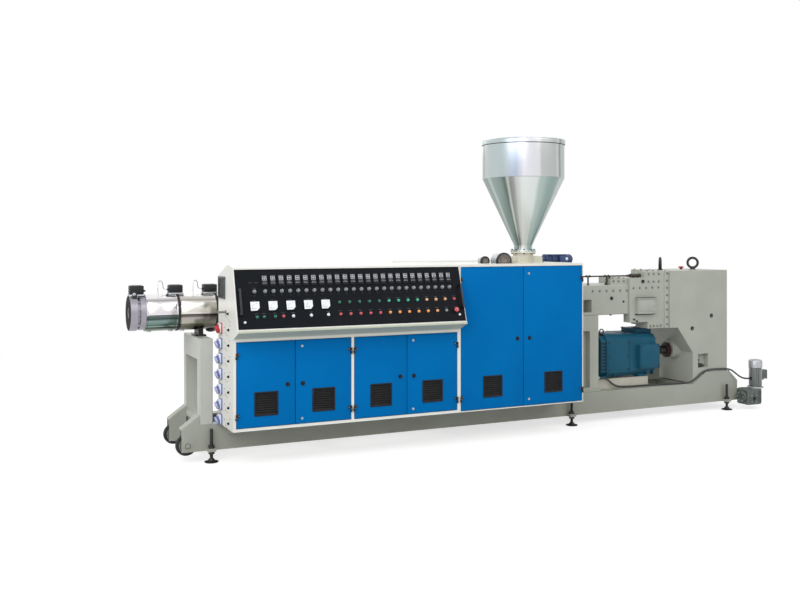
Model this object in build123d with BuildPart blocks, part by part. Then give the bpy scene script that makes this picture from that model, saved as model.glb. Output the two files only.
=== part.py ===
# Twin-screw plastic extruder on a free-standing steel base, in millimetres.
# +X runs from the die end to the gearmotor end, +Y away from the operator, +Z up.
# The origin is on the floor, under the middle of the machine.

import os
from math import hypot, pi, radians, sin, tan

from build123d import *

os.makedirs("parts", exist_ok=True)

# Lengths along the machine, one after the other
die_overhang = 665
control_length = 1955
barrel_cabinet_length = 1270
connector_length = 875
distribution_length = 480
reduction_length = 758
gearmotor_reach = 447

# Widths across the machine, about the barrel's upright middle plane
cabinet_reach = 680
console_overhang = 135
base_width = 580
control_from_axis = 230
connector_width = 460
distribution_width = 500
flange_strip_width = 530
column_width = 460

# Heights above the floor
ground_clearance = 85
rail_height = 205
control_height = 705
cabinet_rim = 12
barrel_axis_height = 1170
cabinet_above_axis = 360
connector_below_axis = 150
connector_height = 290
distribution_below_axis = 236
shelf_drop = 67
gearbox_above_axis = 270

# Clearances
seat_gap = 0.3
door_gap = 5
side_play = 0.4

overall_length = (
    die_overhang + control_length + barrel_cabinet_length + connector_length
    + distribution_length + reduction_length + gearmotor_reach
)

x_die = -overall_length / 2
x_control = x_die + die_overhang
x_barrel_cabinet = x_control + control_length
x_connector = x_barrel_cabinet + barrel_cabinet_length
x_distribution = x_connector + connector_length
x_reduction = x_distribution + distribution_length
x_reduction_end = x_reduction + reduction_length
x_right = x_reduction_end + gearmotor_reach

axis_y = console_overhang / 2
front_y = axis_y - cabinet_reach
back_y = axis_y + cabinet_reach
rail_top = ground_clearance + rail_height
control_top = rail_top + control_height
barrel_cabinet_top = barrel_axis_height + cabinet_above_axis
connector_bottom = barrel_axis_height - connector_below_axis
distribution_bottom = barrel_axis_height - distribution_below_axis
gearbox_cut_height = distribution_bottom - shelf_drop
gearbox_top = barrel_axis_height + gearbox_above_axis
barrel_line = Axis((0, axis_y, barrel_axis_height), (1, 0, 0))


def block(x0, x1, y0, y1, z0, z1, mode=Mode.ADD):
    # A box between two corners, added to the part that is being built
    with Locations(((x0 + x1) / 2, (y0 + y1) / 2, (z0 + z1) / 2)):
        Box(x1 - x0, abs(y1 - y0), z1 - z0, mode=mode)


def side_plate(points, y0, y1, mode=Mode.ADD):
    # A plate whose outline is drawn in x and z, between two depths
    near, far = min(y0, y1), max(y0, y1)
    with BuildSketch(Plane.XZ.offset(-far)) as profile:
        with BuildLine():
            Polyline(*points, close=True)
        make_face()
    extrude(profile.sketch, amount=far - near, mode=mode)


def cross_plate(points, x0, x1, mode=Mode.ADD):
    # A plate whose outline is drawn in y and z, between two stations
    with BuildSketch(Plane.YZ.offset(x0)) as profile:
        with BuildLine():
            Polyline(*points, close=True)
        make_face()
    extrude(profile.sketch, amount=x1 - x0, mode=mode)


def round_x(x0, x1, y, z, radius, mode=Mode.ADD):
    # A round bar along x
    with BuildSketch(Plane.YZ.offset(x0)) as section:
        with Locations((y, z)):
            Circle(radius)
    extrude(section.sketch, amount=x1 - x0, mode=mode)


def round_y(y0, y1, x, z, radius, mode=Mode.ADD):
    # A round bar along y
    near, far = min(y0, y1), max(y0, y1)
    with BuildSketch(Plane.XZ.offset(-far)) as section:
        with Locations((x, z)):
            Circle(radius)
    extrude(section.sketch, amount=far - near, mode=mode)


def round_z(z0, z1, x, y, radius, mode=Mode.ADD):
    # A round bar along z
    with BuildSketch(Plane.XY.offset(z0)) as section:
        with Locations((x, y)):
            Circle(radius)
    extrude(section.sketch, amount=z1 - z0, mode=mode)


def save(piece, name):
    piece.part.label = name
    export_step(piece.part, f"parts/{name}.step")


# Base frame: two channel rails, open towards each other
rail_plate = 12
flange_width = 100
base_left_reach = 305
base_right_reach = 130
post_thickness = 106
post_setback = 164
nose_height = 182
nose_rise = 103
raised_height = 110
raised_from = 458
raised_slope = 160
raised_to = 13

x_base_left = x_control - base_left_reach
x_base_right = x_reduction_end + base_right_reach
x_post = x_control - post_setback
x_plinth = x_reduction_end - raised_from
nose_top = ground_clearance + nose_height
raised_top = rail_top + raised_height
near_rail_y = axis_y - base_width / 2
far_rail_y = axis_y + base_width / 2

# Transport wheels at the die end, held between the rail and an inner cheek
wheel_radius = 85
wheel_width = 48
tread_chamfer = 5
hub_radius = 30
wheel_setback = 46
wheel_drop = 51
axle_radius = 12
axle_play = 0.06
axle_cap_radius = 25
axle_cap = 8
x_wheel = x_base_left + wheel_setback
z_wheel = ground_clearance + wheel_drop

# Levelling feet, each a threaded stud in a lug on the side of a rail
foot_radius = 55
foot_plate = 8
foot_cone = 22
foot_neck_radius = 19.6
stud_radius = 14
stud_sides = 8
stud_top = 262
stud_play = 0.3
foot_offset = 34
lug_reach = 64
lug_half = 32
lug_thickness = 25
nut_radius = 26
nut_height = 20
foot_from_post = 85
foot_after_cabinet = 130
foot_before_end = 47
foot_stations = [
    x_post + foot_from_post,
    x_connector + foot_after_cabinet,
    x_reduction_end - foot_before_end,
]


def make_rail(side):
    outer = axis_y + side * base_width / 2
    inside = outer - side * rail_plate
    edge = outer - side * flange_width
    top_slope = [(x_base_left, nose_top), (x_post, nose_top + nose_rise)]
    with BuildPart() as rail:
        side_plate(
            [
                (x_base_left, ground_clearance),
                *top_slope,
                (x_post, rail_top),
                (x_plinth, rail_top),
                (x_plinth + raised_slope, raised_top),
                (x_reduction_end + raised_to, raised_top),
                (x_base_right, rail_top),
                (x_base_right, ground_clearance),
            ],
            inside,
            outer,
        )
        block(x_post, x_base_right, inside, edge, rail_top - rail_plate, rail_top)
        block(x_post, x_base_right, inside, edge, ground_clearance, ground_clearance + rail_plate)
        side_plate(
            top_slope + [(x, z - rail_plate) for x, z in reversed(top_slope)], inside, edge
        )
        side_plate(
            [
                (x_base_left, ground_clearance),
                (x_base_left, nose_top - rail_plate),
                (x_post, nose_top + nose_rise - rail_plate),
                (x_post, ground_clearance),
            ],
            edge,
            edge + side * rail_plate,
        )
        round_y(inside, edge, x_wheel, z_wheel, axle_radius)
        round_y(outer, outer + side * axle_cap, x_wheel, z_wheel, axle_cap_radius)
        for x in foot_stations:
            block(
                x - lug_half, x + lug_half, outer, outer + side * lug_reach,
                ground_clearance, ground_clearance + lug_thickness,
            )
            round_z(
                ground_clearance, ground_clearance + lug_thickness,
                x, outer + side * foot_offset, stud_radius + stud_play, Mode.SUBTRACT,
            )
    return rail


base_rail_near = make_rail(-1)
save(base_rail_near, "base_rail_near")
base_rail_far = make_rail(1)
save(base_rail_far, "base_rail_far")

# Cross beams between the rails, and the plate that closes the right-hand end
cross_beam_width = 80
beam_under_control = 975
beam_in_cabinet = 120
beam_under_column = 300
motor_beam_spacing = 480
motor_beam_offset = 90
column_offset = 170
column_length = 340
x_column = x_connector + column_offset
x_column_end = x_column + column_length
x_motor_beam = x_column_end + motor_beam_offset
beam_stations = [
    x_post + post_thickness / 2,
    x_control + beam_under_control,
    x_barrel_cabinet + beam_in_cabinet,
    x_connector + beam_under_column,
    x_motor_beam,
    x_motor_beam + motor_beam_spacing,
    x_plinth + cross_beam_width / 2,
]
beam_near_y = near_rail_y + rail_plate
beam_far_y = far_rail_y - rail_plate
with BuildPart() as base_cross_beams:
    for x in beam_stations:
        block(
            x - cross_beam_width / 2, x + cross_beam_width / 2, beam_near_y, beam_far_y,
            ground_clearance + rail_plate, rail_top - rail_plate,
        )
    block(
        x_base_right - rail_plate, x_base_right, beam_near_y, beam_far_y,
        ground_clearance + rail_plate, rail_top - rail_plate,
    )
save(base_cross_beams, "base_cross_beams")

with BuildPart() as levelling_feet:
    for side in (-1, 1):
        y = axis_y + side * (base_width / 2 + foot_offset)
        for x in foot_stations:
            with BuildSketch(Plane.XZ.offset(-y)):
                with BuildLine():
                    Polyline(
                        (x, 0),
                        (x + foot_radius, 0),
                        (x + foot_radius, foot_plate),
                        (x + foot_neck_radius, foot_plate + foot_cone),
                        (x, foot_plate + foot_cone),
                        close=True,
                    )
                make_face()
            revolve(axis=Axis((x, y, 0), (0, 0, 1)))
            for z, height, radius, sides in (
                (foot_plate, stud_top - foot_plate, stud_radius, stud_sides),
                (ground_clearance - nut_height, nut_height, nut_radius, 6),
                (ground_clearance + lug_thickness, nut_height, nut_radius, 6),
            ):
                with BuildSketch(Plane.XY.offset(z)):
                    with Locations((x, y)):
                        RegularPolygon(radius, sides)
                extrude(amount=height)
save(levelling_feet, "levelling_feet")


def make_wheel(side):
    middle = axis_y + side * (base_width / 2 - flange_width / 2)
    hub_half = flange_width / 2 - rail_plate - side_play
    with BuildPart() as wheel:
        for half, radius in ((wheel_width / 2, wheel_radius), (hub_half, hub_radius)):
            round_y(middle - half, middle + half, x_wheel, z_wheel, radius)
        chamfer(
            wheel.edges().filter_by(GeomType.CIRCLE).group_by(SortBy.RADIUS)[-1], tread_chamfer
        )
        round_y(
            middle - hub_half, middle + hub_half, x_wheel, z_wheel, axle_radius + axle_play,
            Mode.SUBTRACT,
        )
    return wheel


transport_wheel_near = make_wheel(-1)
save(transport_wheel_near, "transport_wheel_near")
transport_wheel_far = make_wheel(1)
save(transport_wheel_far, "transport_wheel_far")

# Portal that stands on the rails and carries the front of the barrel
trestle_below_axis = 200
trestle_post_width = 90
trestle_sill = 45
trestle_beam = 170
trestle_chamfer = 6
trestle_top = barrel_axis_height - trestle_below_axis
with BuildPart() as front_trestle:
    block(x_post, x_post + post_thickness, near_rail_y, far_rail_y, rail_top, trestle_top)
    block(
        x_post, x_post + post_thickness,
        near_rail_y + trestle_post_width, far_rail_y - trestle_post_width,
        rail_top + trestle_sill, trestle_top - trestle_beam, Mode.SUBTRACT,
    )
    for corner_edges in (0, -1):
        chamfer(
            front_trestle.edges().filter_by(Axis.Z).group_by(Axis.Y)[corner_edges], trestle_chamfer
        )
save(front_trestle, "front_trestle")

# Tapered brackets that carry the cabinets beside the rails
bracket_thickness = 10
bracket_depth = 85
bracket_tip = 10
bracket_setback = 25
control_bracket_count = 5
barrel_bracket_count = 4


def spread(start, end, count, margin):
    # Stations from start to end with the same space between them
    first, last = start + margin, end - margin
    return [first + (last - first) * i / (count - 1) for i in range(count)]


bracket_margin = 60
near_brackets = spread(x_control, x_barrel_cabinet, control_bracket_count, bracket_margin)
far_brackets = spread(x_barrel_cabinet, x_connector, barrel_bracket_count, bracket_margin)
with BuildPart() as cabinet_brackets:
    for side, stations in ((-1, near_brackets + far_brackets), (1, far_brackets)):
        rail_y = axis_y + side * base_width / 2
        tip_y = axis_y + side * (cabinet_reach - bracket_setback)
        for x in stations:
            cross_plate(
                [
                    (rail_y, rail_top - bracket_depth),
                    (rail_y, rail_top),
                    (tip_y, rail_top),
                    (tip_y, rail_top - bracket_tip),
                ],
                x - bracket_thickness / 2,
                x + bracket_thickness / 2,
            )
save(cabinet_brackets, "cabinet_brackets")

# Cabinet shells: folded sheet, with a frame round each pair of doors
sheet = 12
frame_margin = 22
barrel_frame_margin = 8
frame_depth = 32
mullion = 22
leaf_thickness = 20

# Doors with outside hinges, louvres, swing latches and round locks
hinge_radius = 7
hinge_pin_radius = 3
hinge_pin_play = 0.06
hinge_length = 50
hinge_plate = 4
hinge_leaf = 26
hinge_frame_leaf = 9
hinge_end_play = 0.4
hinge_from_bottom = 110
hinge_from_top = 130
vent_width = 190
vent_height = 185
vent_centre = 202
vent_border = 12
vent_proud = 6
slat_count = 9
slat_thickness = 3
slat_angle = 40
latch_width = 26
latch_height = 62
latch_proud = 15
latch_from_seam = 62
lock_radius = 11
lock_proud = 6
lock_sides = 8
lock_from_seam = 55
lock_from_bottom = 66
lock_from_top = 73
control_latch = 340
barrel_latch = 602

hinge_y = front_y - hinge_radius


def hinge_heights(top):
    return [rail_top + hinge_from_bottom, top - hinge_from_top]


def lock_heights(top):
    return [rail_top + lock_from_bottom, top - lock_from_top]


def add_frame_hinges(x, direction, heights):
    # The cabinet's half of each hinge, with the pin that stands up from it
    for z in heights:
        round_z(z - hinge_length / 2, z - hinge_end_play / 2, x, hinge_y, hinge_radius)
        round_z(z - hinge_length / 2, z + hinge_length / 2, x, hinge_y, hinge_pin_radius)
        block(
            min(x, x + direction * hinge_frame_leaf), max(x, x + direction * hinge_frame_leaf),
            front_y - hinge_plate, front_y, z - hinge_length / 2, z - hinge_end_play / 2,
        )


def hollow_out(x0, x1, doorway, rear_y, top, margin):
    # One compartment between two inner walls, behind a framed doorway
    block(
        x0, x1, front_y + frame_depth, rear_y - sheet, rail_top + sheet, top - sheet,
        Mode.SUBTRACT,
    )
    block(
        *doorway, front_y, front_y + frame_depth, rail_top + margin, top - margin,
        Mode.SUBTRACT,
    )


x_mullion = x_control + control_length / 2
control_doorways = [
    (x_control + frame_margin, x_mullion - mullion / 2),
    (x_mullion + mullion / 2, x_barrel_cabinet - frame_margin),
]
barrel_doorway = (x_barrel_cabinet + barrel_frame_margin, x_connector - barrel_frame_margin)
control_back_y = axis_y - control_from_axis
with BuildPart() as control_cabinet:
    block(x_control, x_barrel_cabinet, front_y, control_back_y, rail_top, control_top)
    compartments = [
        (x_control + sheet, x_mullion - mullion / 2),
        (x_mullion + mullion / 2, x_barrel_cabinet - sheet),
    ]
    control_heights = hinge_heights(control_top)
    for (x0, x1), doorway in zip(compartments, control_doorways):
        hollow_out(x0, x1, doorway, control_back_y, control_top, frame_margin)
        add_frame_hinges(doorway[0] + door_gap / 2, -1, control_heights)
        add_frame_hinges(doorway[1] - door_gap / 2, 1, control_heights)
save(control_cabinet, "control_cabinet")


def make_door(edge_x, seam_x, top, margin, latch_z, locks):
    # A leaf from its hinged edge to the seam; locks are given on one leaf of a pair
    direction = 1 if seam_x > edge_x else -1
    hinged = edge_x + direction * door_gap
    free = seam_x - direction * door_gap / 2
    x0, x1 = min(hinged, free), max(hinged, free)
    bottom = rail_top + margin + door_gap
    vent_x = (x0 + x1) / 2
    vent_z = rail_top + vent_centre
    pivot_x = edge_x + direction * door_gap / 2
    inner_width = vent_width - 2 * vent_border
    inner_height = vent_height - 2 * vent_border
    with BuildPart() as door:
        block(x0, x1, front_y, front_y + leaf_thickness, bottom, top - margin - door_gap)
        block(
            vent_x - vent_width / 2, vent_x + vent_width / 2, front_y - vent_proud, front_y,
            vent_z - vent_height / 2, vent_z + vent_height / 2,
        )
        block(
            vent_x - inner_width / 2, vent_x + inner_width / 2,
            front_y - vent_proud, front_y + leaf_thickness,
            vent_z - inner_height / 2, vent_z + inner_height / 2, Mode.SUBTRACT,
        )
        pitch = inner_height / slat_count
        slat_centres = [
            (vent_x, front_y + slat_thickness, vent_z - inner_height / 2 + pitch * (i + 0.5))
            for i in range(slat_count)
        ]
        for centre in slat_centres:
            with Locations(Location(centre, (-slat_angle, 0, 0))):
                Box(inner_width + slat_thickness, slat_thickness, pitch * 0.9)
        for z in hinge_heights(top):
            round_z(z + hinge_end_play / 2, z + hinge_length / 2, pivot_x, hinge_y, hinge_radius)
            inner_edge = pivot_x + direction * hinge_leaf
            block(
                min(pivot_x, inner_edge), max(pivot_x, inner_edge),
                front_y - hinge_plate, front_y, z + hinge_end_play / 2, z + hinge_length / 2,
            )
            round_z(
                z, z + hinge_length, pivot_x, hinge_y,
                hinge_pin_radius + hinge_pin_play, Mode.SUBTRACT,
            )
        latch_x = seam_x - direction * latch_from_seam
        block(
            latch_x - latch_width / 2, latch_x + latch_width / 2, front_y - latch_proud, front_y,
            rail_top + latch_z - latch_height / 2, rail_top + latch_z + latch_height / 2,
        )
        for z in locks:
            lock_x = seam_x - direction * lock_from_seam
            with BuildSketch(Plane.XZ.offset(-front_y)):
                with Locations((lock_x, z)):
                    RegularPolygon(lock_radius, lock_sides)
            extrude(amount=lock_proud)
    return door


for pair, (left, right) in enumerate(control_doorways):
    seam = (left + right) / 2
    for leaf, (edge, locks) in enumerate(((left, ()), (right, lock_heights(control_top)))):
        control_door = make_door(edge, seam, control_top, frame_margin, control_latch, locks)
        save(control_door, f"control_door_{2 * pair + leaf + 1}")

# Operator console on top of the control cabinet, with a sloping face
lip_height = 18
underside_rise = 57
lip_depth = 12
panel_setback = 20
panel_rise = 461
console_shoulder = 9
console_crown_run = 148
console_crown_rise = 23
console_back_drop = 93
lip_bottom = control_top + underside_rise
panel_bottom = lip_bottom + lip_height
panel_top = panel_bottom + panel_rise
lip_y = front_y - console_overhang
panel_bottom_y = lip_y + lip_depth
panel_top_y = front_y + panel_setback
crown_z = panel_top + console_shoulder + console_crown_rise
with BuildPart() as console_housing:
    cross_plate(
        [
            (front_y, control_top),
            (lip_y, lip_bottom),
            (lip_y, panel_bottom),
            (panel_bottom_y, panel_bottom),
            (panel_top_y, panel_top),
            (panel_top_y, panel_top + console_shoulder),
            (panel_top_y + console_crown_run, crown_z),
            (control_back_y, crown_z - console_back_drop),
            (control_back_y, control_top),
        ],
        x_control,
        x_barrel_cabinet,
    )
save(console_housing, "console_housing")

# Face plate and instruments, laid out on the slope from its lower left corner
panel_margin = 8
panel_thickness = 5
panel_run = panel_top_y - panel_bottom_y
panel_length = hypot(panel_run, panel_rise)
slope_normal = (0, -panel_rise / panel_length, panel_run / panel_length)
slope = Plane(
    origin=(x_control, panel_bottom_y, panel_bottom), x_dir=(1, 0, 0), z_dir=slope_normal
)
panel_face = slope.offset(panel_thickness)
with BuildPart() as console_panel:
    with BuildSketch(slope):
        with Locations((control_length / 2, panel_length / 2)):
            Rectangle(control_length - 2 * panel_margin, panel_length - 2 * panel_margin)
    extrude(amount=panel_thickness)
save(console_panel, "console_panel")

handle_inset = 32
handle_low = 112
handle_high = 318
handle_standoff = 42
handle_width = 16
handle_bar = 10
with BuildPart() as console_handles:
    for x in (handle_inset, control_length - handle_inset):
        with BuildSketch(panel_face.offset(handle_standoff)):
            with Locations((x, (handle_low + handle_high) / 2)):
                Rectangle(handle_width, handle_high - handle_low)
        extrude(amount=-handle_bar)
        with BuildSketch(panel_face):
            with Locations((x, handle_low + handle_bar), (x, handle_high - handle_bar)):
                Rectangle(handle_width, 2 * handle_bar)
        extrude(amount=handle_standoff - handle_bar)
save(console_handles, "console_handles")

controller_count = 25
controller_width = 48
controller_height = 92
controller_row = 384
controller_left = 238
controller_right = 123
controller_proud = 10
meter_count = 5
meter_size = 73
meter_row = 183
meter_left = 145
meter_pitch = 142.5
meter_proud = 14
controller_pitch = (control_length - controller_left - controller_right) / (controller_count - 1)
controllers = [
    (controller_left + controller_pitch * i, controller_row) for i in range(controller_count)
]
meters = [(meter_left + meter_pitch * i, meter_row) for i in range(meter_count)]
with BuildPart() as console_meters:
    with BuildSketch(panel_face):
        with Locations(*controllers):
            Rectangle(controller_width, controller_height)
    extrude(amount=controller_proud)
    with BuildSketch(panel_face):
        with Locations(*meters):
            Rectangle(meter_size, meter_size)
    extrude(amount=meter_proud)
save(console_meters, "console_meters")

# Rotary switches under the controllers, then lamps over push buttons, and the panel's locks
switch_row = 299
switch_radius = 15
switch_proud = 20
master_switch = 153
lamp_row = 196
button_row = 100
column_count = 13
column_left = 834
column_right = 95
left_buttons = (157, 212, 300, 365, 445, 590, 732)
button_radius = 13
button_proud = 16
stop_radius = 21
stop_proud = 30
panel_lock_row = 62
panel_lock_inset = 61
panel_lock_radius = 10
panel_lock_proud = 8
column_pitch = (control_length - column_left - column_right) / (column_count - 1)
columns = [column_left + column_pitch * i for i in range(column_count)]
switches = [(x, switch_row) for x in [master_switch] + [x for x, _ in controllers]]
buttons = [(x, button_row) for x in [*left_buttons, *columns[:-1]]]
lamps = [(x, lamp_row) for x in columns]
stop_button = (columns[-1], button_row)
panel_locks = [(x, panel_lock_row) for x in (panel_lock_inset, control_length - panel_lock_inset)]
with BuildPart() as console_switches:
    for places, radius, proud in (
        (switches, switch_radius, switch_proud),
        (lamps + buttons, button_radius, button_proud),
        ([stop_button], stop_radius, stop_proud),
        (panel_locks, panel_lock_radius, panel_lock_proud),
    ):
        with BuildSketch(panel_face):
            with Locations(*places):
                RegularPolygon(radius, 8)
        extrude(amount=proud)
save(console_switches, "console_switches")

# Louvre and power sockets on the left side of the console and cabinet
side_vent_width = 205
side_vent_height = 174
side_vent_from_back = 12
side_vent_bottom = 293
side_vent_proud = 8
side_slats = 12
with BuildPart() as side_vent:
    y1 = control_back_y - side_vent_from_back
    y0 = y1 - side_vent_width
    z0 = control_top + side_vent_bottom
    z1 = z0 + side_vent_height
    block(x_control - side_vent_proud, x_control, y0, y1, z0, z1)
    pitch = (side_vent_height - 2 * vent_border) / side_slats
    for i in range(side_slats):
        z = z0 + vent_border + pitch * (i + 0.5)
        block(
            x_control - side_vent_proud, x_control - slat_thickness,
            y0 + vent_border, y1 - vent_border, z - pitch / 4, z + pitch / 4, Mode.SUBTRACT,
        )
save(side_vent, "side_vent")

socket_count = 7
socket_pitch = 120
socket_above_cabinet = 60
socket_from_back = 92
socket_width = 72
socket_height = 84
socket_depth = 34
socket_cap_radius = 31
socket_cap_length = 34
socket_cap_sides = 12
with BuildPart() as power_sockets:
    for i in range(socket_count):
        y = control_back_y - socket_from_back
        z = control_top + socket_above_cabinet - socket_pitch * i
        block(
            x_control - socket_depth, x_control, y - socket_width / 2, y + socket_width / 2,
            z - socket_height / 2, z + socket_height / 2,
        )
        with BuildSketch(Plane.YZ.offset(x_control - socket_depth)):
            with Locations((y, z)):
                RegularPolygon(socket_cap_radius, socket_cap_sides)
        extrude(amount=-socket_cap_length)
save(power_sockets, "power_sockets")

# Barrel cabinet: doors in front, closed behind, open round the barrel
barrel_core_radius = 140
cover_thickness = 10
cover_radius = barrel_core_radius + seat_gap + cover_thickness
barrel_opening = 165
feed_from_cabinet = 1067
throat_radius = 80
throat_opening = 95
rim_width = 16
motor_notch = 130
feeder_left = 187
feeder_right = 180
x_hopper = x_barrel_cabinet + feed_from_cabinet
with BuildPart() as barrel_cabinet:
    block(
        x_barrel_cabinet, x_connector, front_y, back_y, rail_top, barrel_cabinet_top + cabinet_rim
    )
    block(
        x_barrel_cabinet + rim_width, x_connector - rim_width, front_y + rim_width,
        back_y - rim_width, barrel_cabinet_top, barrel_cabinet_top + cabinet_rim, Mode.SUBTRACT,
    )
    block(
        x_connector - rim_width, x_connector, axis_y - motor_notch / 2, axis_y + motor_notch / 2,
        barrel_cabinet_top, barrel_cabinet_top + cabinet_rim, Mode.SUBTRACT,
    )
    hollow_out(
        x_barrel_cabinet + sheet, x_connector - sheet, barrel_doorway, back_y, barrel_cabinet_top,
        barrel_frame_margin,
    )
    round_x(
        x_barrel_cabinet, x_connector, axis_y, barrel_axis_height, barrel_opening, Mode.SUBTRACT
    )
    round_z(
        barrel_cabinet_top - sheet, barrel_cabinet_top, x_hopper, axis_y, throat_opening,
        Mode.SUBTRACT,
    )
    barrel_heights = hinge_heights(barrel_cabinet_top)
    add_frame_hinges(barrel_doorway[0] + door_gap / 2, -1, barrel_heights)
    add_frame_hinges(barrel_doorway[1] - door_gap / 2, 1, barrel_heights)
save(barrel_cabinet, "barrel_cabinet")

for leaf, (edge, locks) in enumerate(
    ((barrel_doorway[0], ()), (barrel_doorway[1], lock_heights(barrel_cabinet_top)))
):
    seam = sum(barrel_doorway) / 2
    barrel_door = make_door(
        edge, seam, barrel_cabinet_top, barrel_frame_margin, barrel_latch, locks
    )
    save(barrel_door, f"barrel_door_{leaf + 1}")

# Barrel: die flange, groove, ring and a long body that ends at the connecting housing
die_flange_radius = 143
die_flange = 60
neck_radius = 118
neck_length = 15
ring_radius = 138
ring_length = 40
melt_bore_radius = 40
melt_bore_depth = 90
die_bolt_circle = 236
die_bolt_count = 8
die_bolt_radius = 8
die_bolt_depth = 45
x_ring = x_die + die_flange + neck_length
x_core = x_ring + ring_length
with BuildPart() as barrel:
    with BuildSketch(Plane.XZ.offset(-axis_y)):
        with BuildLine():
            Polyline(
                *[
                    (x, barrel_axis_height + r)
                    for x, r in (
                        (x_die, 0),
                        (x_die, die_flange_radius),
                        (x_die + die_flange, die_flange_radius),
                        (x_die + die_flange, neck_radius),
                        (x_ring, neck_radius),
                        (x_ring, ring_radius),
                        (x_core, ring_radius),
                        (x_core, barrel_core_radius),
                        (x_connector, barrel_core_radius),
                        (x_connector, 0),
                    )
                ],
                close=True,
            )
        make_face()
    revolve(axis=barrel_line)
    round_x(
        x_die, x_die + melt_bore_depth, axis_y, barrel_axis_height, melt_bore_radius,
        Mode.SUBTRACT,
    )
    with BuildSketch(Plane.YZ.offset(x_die)):
        with Locations((axis_y, barrel_axis_height)):
            with PolarLocations(die_bolt_circle / 2, die_bolt_count):
                Circle(die_bolt_radius)
    extrude(amount=die_bolt_depth, mode=Mode.SUBTRACT)
save(barrel, "barrel")

# Polished covers round the heated zones, with a clamp strap over the first joint
cover_start = 120
first_cover = 250
second_cover = 353
hidden_covers = 4
cover_gap = 12
strap_width = 20
strap_thickness = 4
x_feed = x_hopper - feeder_left
x_first_cover = x_die + cover_start
x_second_cover = x_first_cover + first_cover + cover_gap
x_hidden_covers = x_second_cover + second_cover + cover_gap
hidden_pitch = (x_feed - x_hidden_covers) / hidden_covers
cover_spans = [
    (x_first_cover, x_first_cover + first_cover),
    (x_second_cover, x_second_cover + second_cover),
] + [
    (x_hidden_covers + hidden_pitch * i, x_hidden_covers + hidden_pitch * (i + 1) - cover_gap)
    for i in range(hidden_covers)
]
strap_x = cover_spans[0][1] + cover_gap / 2
strap_span = (strap_x - strap_width / 2, strap_x + strap_width / 2)
with BuildPart() as barrel_covers:
    for x0, x1 in cover_spans:
        round_x(x0, x1, axis_y, barrel_axis_height, cover_radius)
    round_x(*strap_span, axis_y, barrel_axis_height, cover_radius + strap_thickness)
    round_x(
        x_die, x_connector, axis_y, barrel_axis_height, barrel_core_radius + seat_gap,
        Mode.SUBTRACT,
    )
save(barrel_covers, "barrel_covers")

# Terminal boxes of the heaters, seated on the barrel and its covers
heater_box_length = 116
heater_box_width = 92
heater_box_top = 225
heater_box_slope = 22
die_heater_offset = 2
second_heater_setback = 60
third_heater_setback = 145
heater_stations = [
    x_die + die_heater_offset,
    cover_spans[0][1] - second_heater_setback,
    cover_spans[1][1] - third_heater_setback,
] + [(x0 + x1 - heater_box_length) / 2 for x0, x1 in cover_spans[2:]]
with BuildPart() as heater_boxes:
    for i, x0 in enumerate(heater_stations):
        x1 = x0 + heater_box_length
        top = barrel_axis_height + heater_box_top
        side_plate(
            [
                (x0, barrel_axis_height),
                (x0, top - heater_box_slope),
                (x0 + heater_box_slope, top),
                (x1, top),
                (x1, barrel_axis_height),
            ],
            axis_y - heater_box_width / 2,
            axis_y + heater_box_width / 2,
        )
        seat = die_flange_radius if i == 0 else cover_radius + seat_gap
        round_x(x0, x1, axis_y, barrel_axis_height, seat, Mode.SUBTRACT)
    strap_seat = cover_radius + strap_thickness + seat_gap
    round_x(
        strap_span[0] - seat_gap, strap_span[1] + seat_gap, axis_y, barrel_axis_height,
        strap_seat, Mode.SUBTRACT,
    )
save(heater_boxes, "heater_boxes")

# Saddle between the trestle and the barrel
saddle_length = 40
saddle_width = 150
saddle_offset = 60
saddle_plate = 12
saddle_foot = 90
with BuildPart() as barrel_support:
    x0 = x_post + saddle_offset - saddle_length / 2
    foot_x = x_post + saddle_offset
    block(
        foot_x - saddle_foot / 2, foot_x + saddle_foot / 2, axis_y - saddle_width / 2,
        axis_y + saddle_width / 2, trestle_top, trestle_top + saddle_plate,
    )
    block(
        x0, x0 + saddle_length, axis_y - saddle_width / 2, axis_y + saddle_width / 2,
        trestle_top, barrel_axis_height - cover_radius / 2,
    )
    round_x(x_post, x_control, axis_y, barrel_axis_height, cover_radius + seat_gap, Mode.SUBTRACT)
save(barrel_support, "barrel_support")

# Hopper: a thin shell with a flat lid whose skirt goes over the rim
hopper_radius = 391
hopper_wall = 5
hopper_flange_rise = 110
hopper_flange = 16
hopper_flange_radius = 120
neck_outer = 86
neck_height = 60
cone_height = 638
cylinder_height = 350
hopper_flange_bottom = barrel_cabinet_top + hopper_flange_rise
cone_bottom = hopper_flange_bottom + neck_height
cone_top = cone_bottom + cone_height
hopper_rim = cone_top + cylinder_height
lid_thickness = 12
lid_skirt = 33
lid_wall = 8
with BuildPart() as hopper_shell:
    with BuildSketch(Plane.XZ.offset(-axis_y)):
        with BuildLine():
            Polyline(
                *[
                    (x_hopper + r, z)
                    for r, z in (
                        (neck_outer - hopper_wall, hopper_flange_bottom),
                        (hopper_flange_radius, hopper_flange_bottom),
                        (hopper_flange_radius, hopper_flange_bottom + hopper_flange),
                        (neck_outer, hopper_flange_bottom + hopper_flange),
                        (neck_outer, cone_bottom),
                        (hopper_radius, cone_top),
                        (hopper_radius, hopper_rim),
                        (hopper_radius - hopper_wall, hopper_rim),
                        (hopper_radius - hopper_wall, cone_top),
                        (neck_outer - hopper_wall, cone_bottom),
                    )
                ],
                close=True,
            )
        make_face()
    revolve(axis=Axis((x_hopper, axis_y, 0), (0, 0, 1)))
save(hopper_shell, "hopper_shell")

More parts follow.
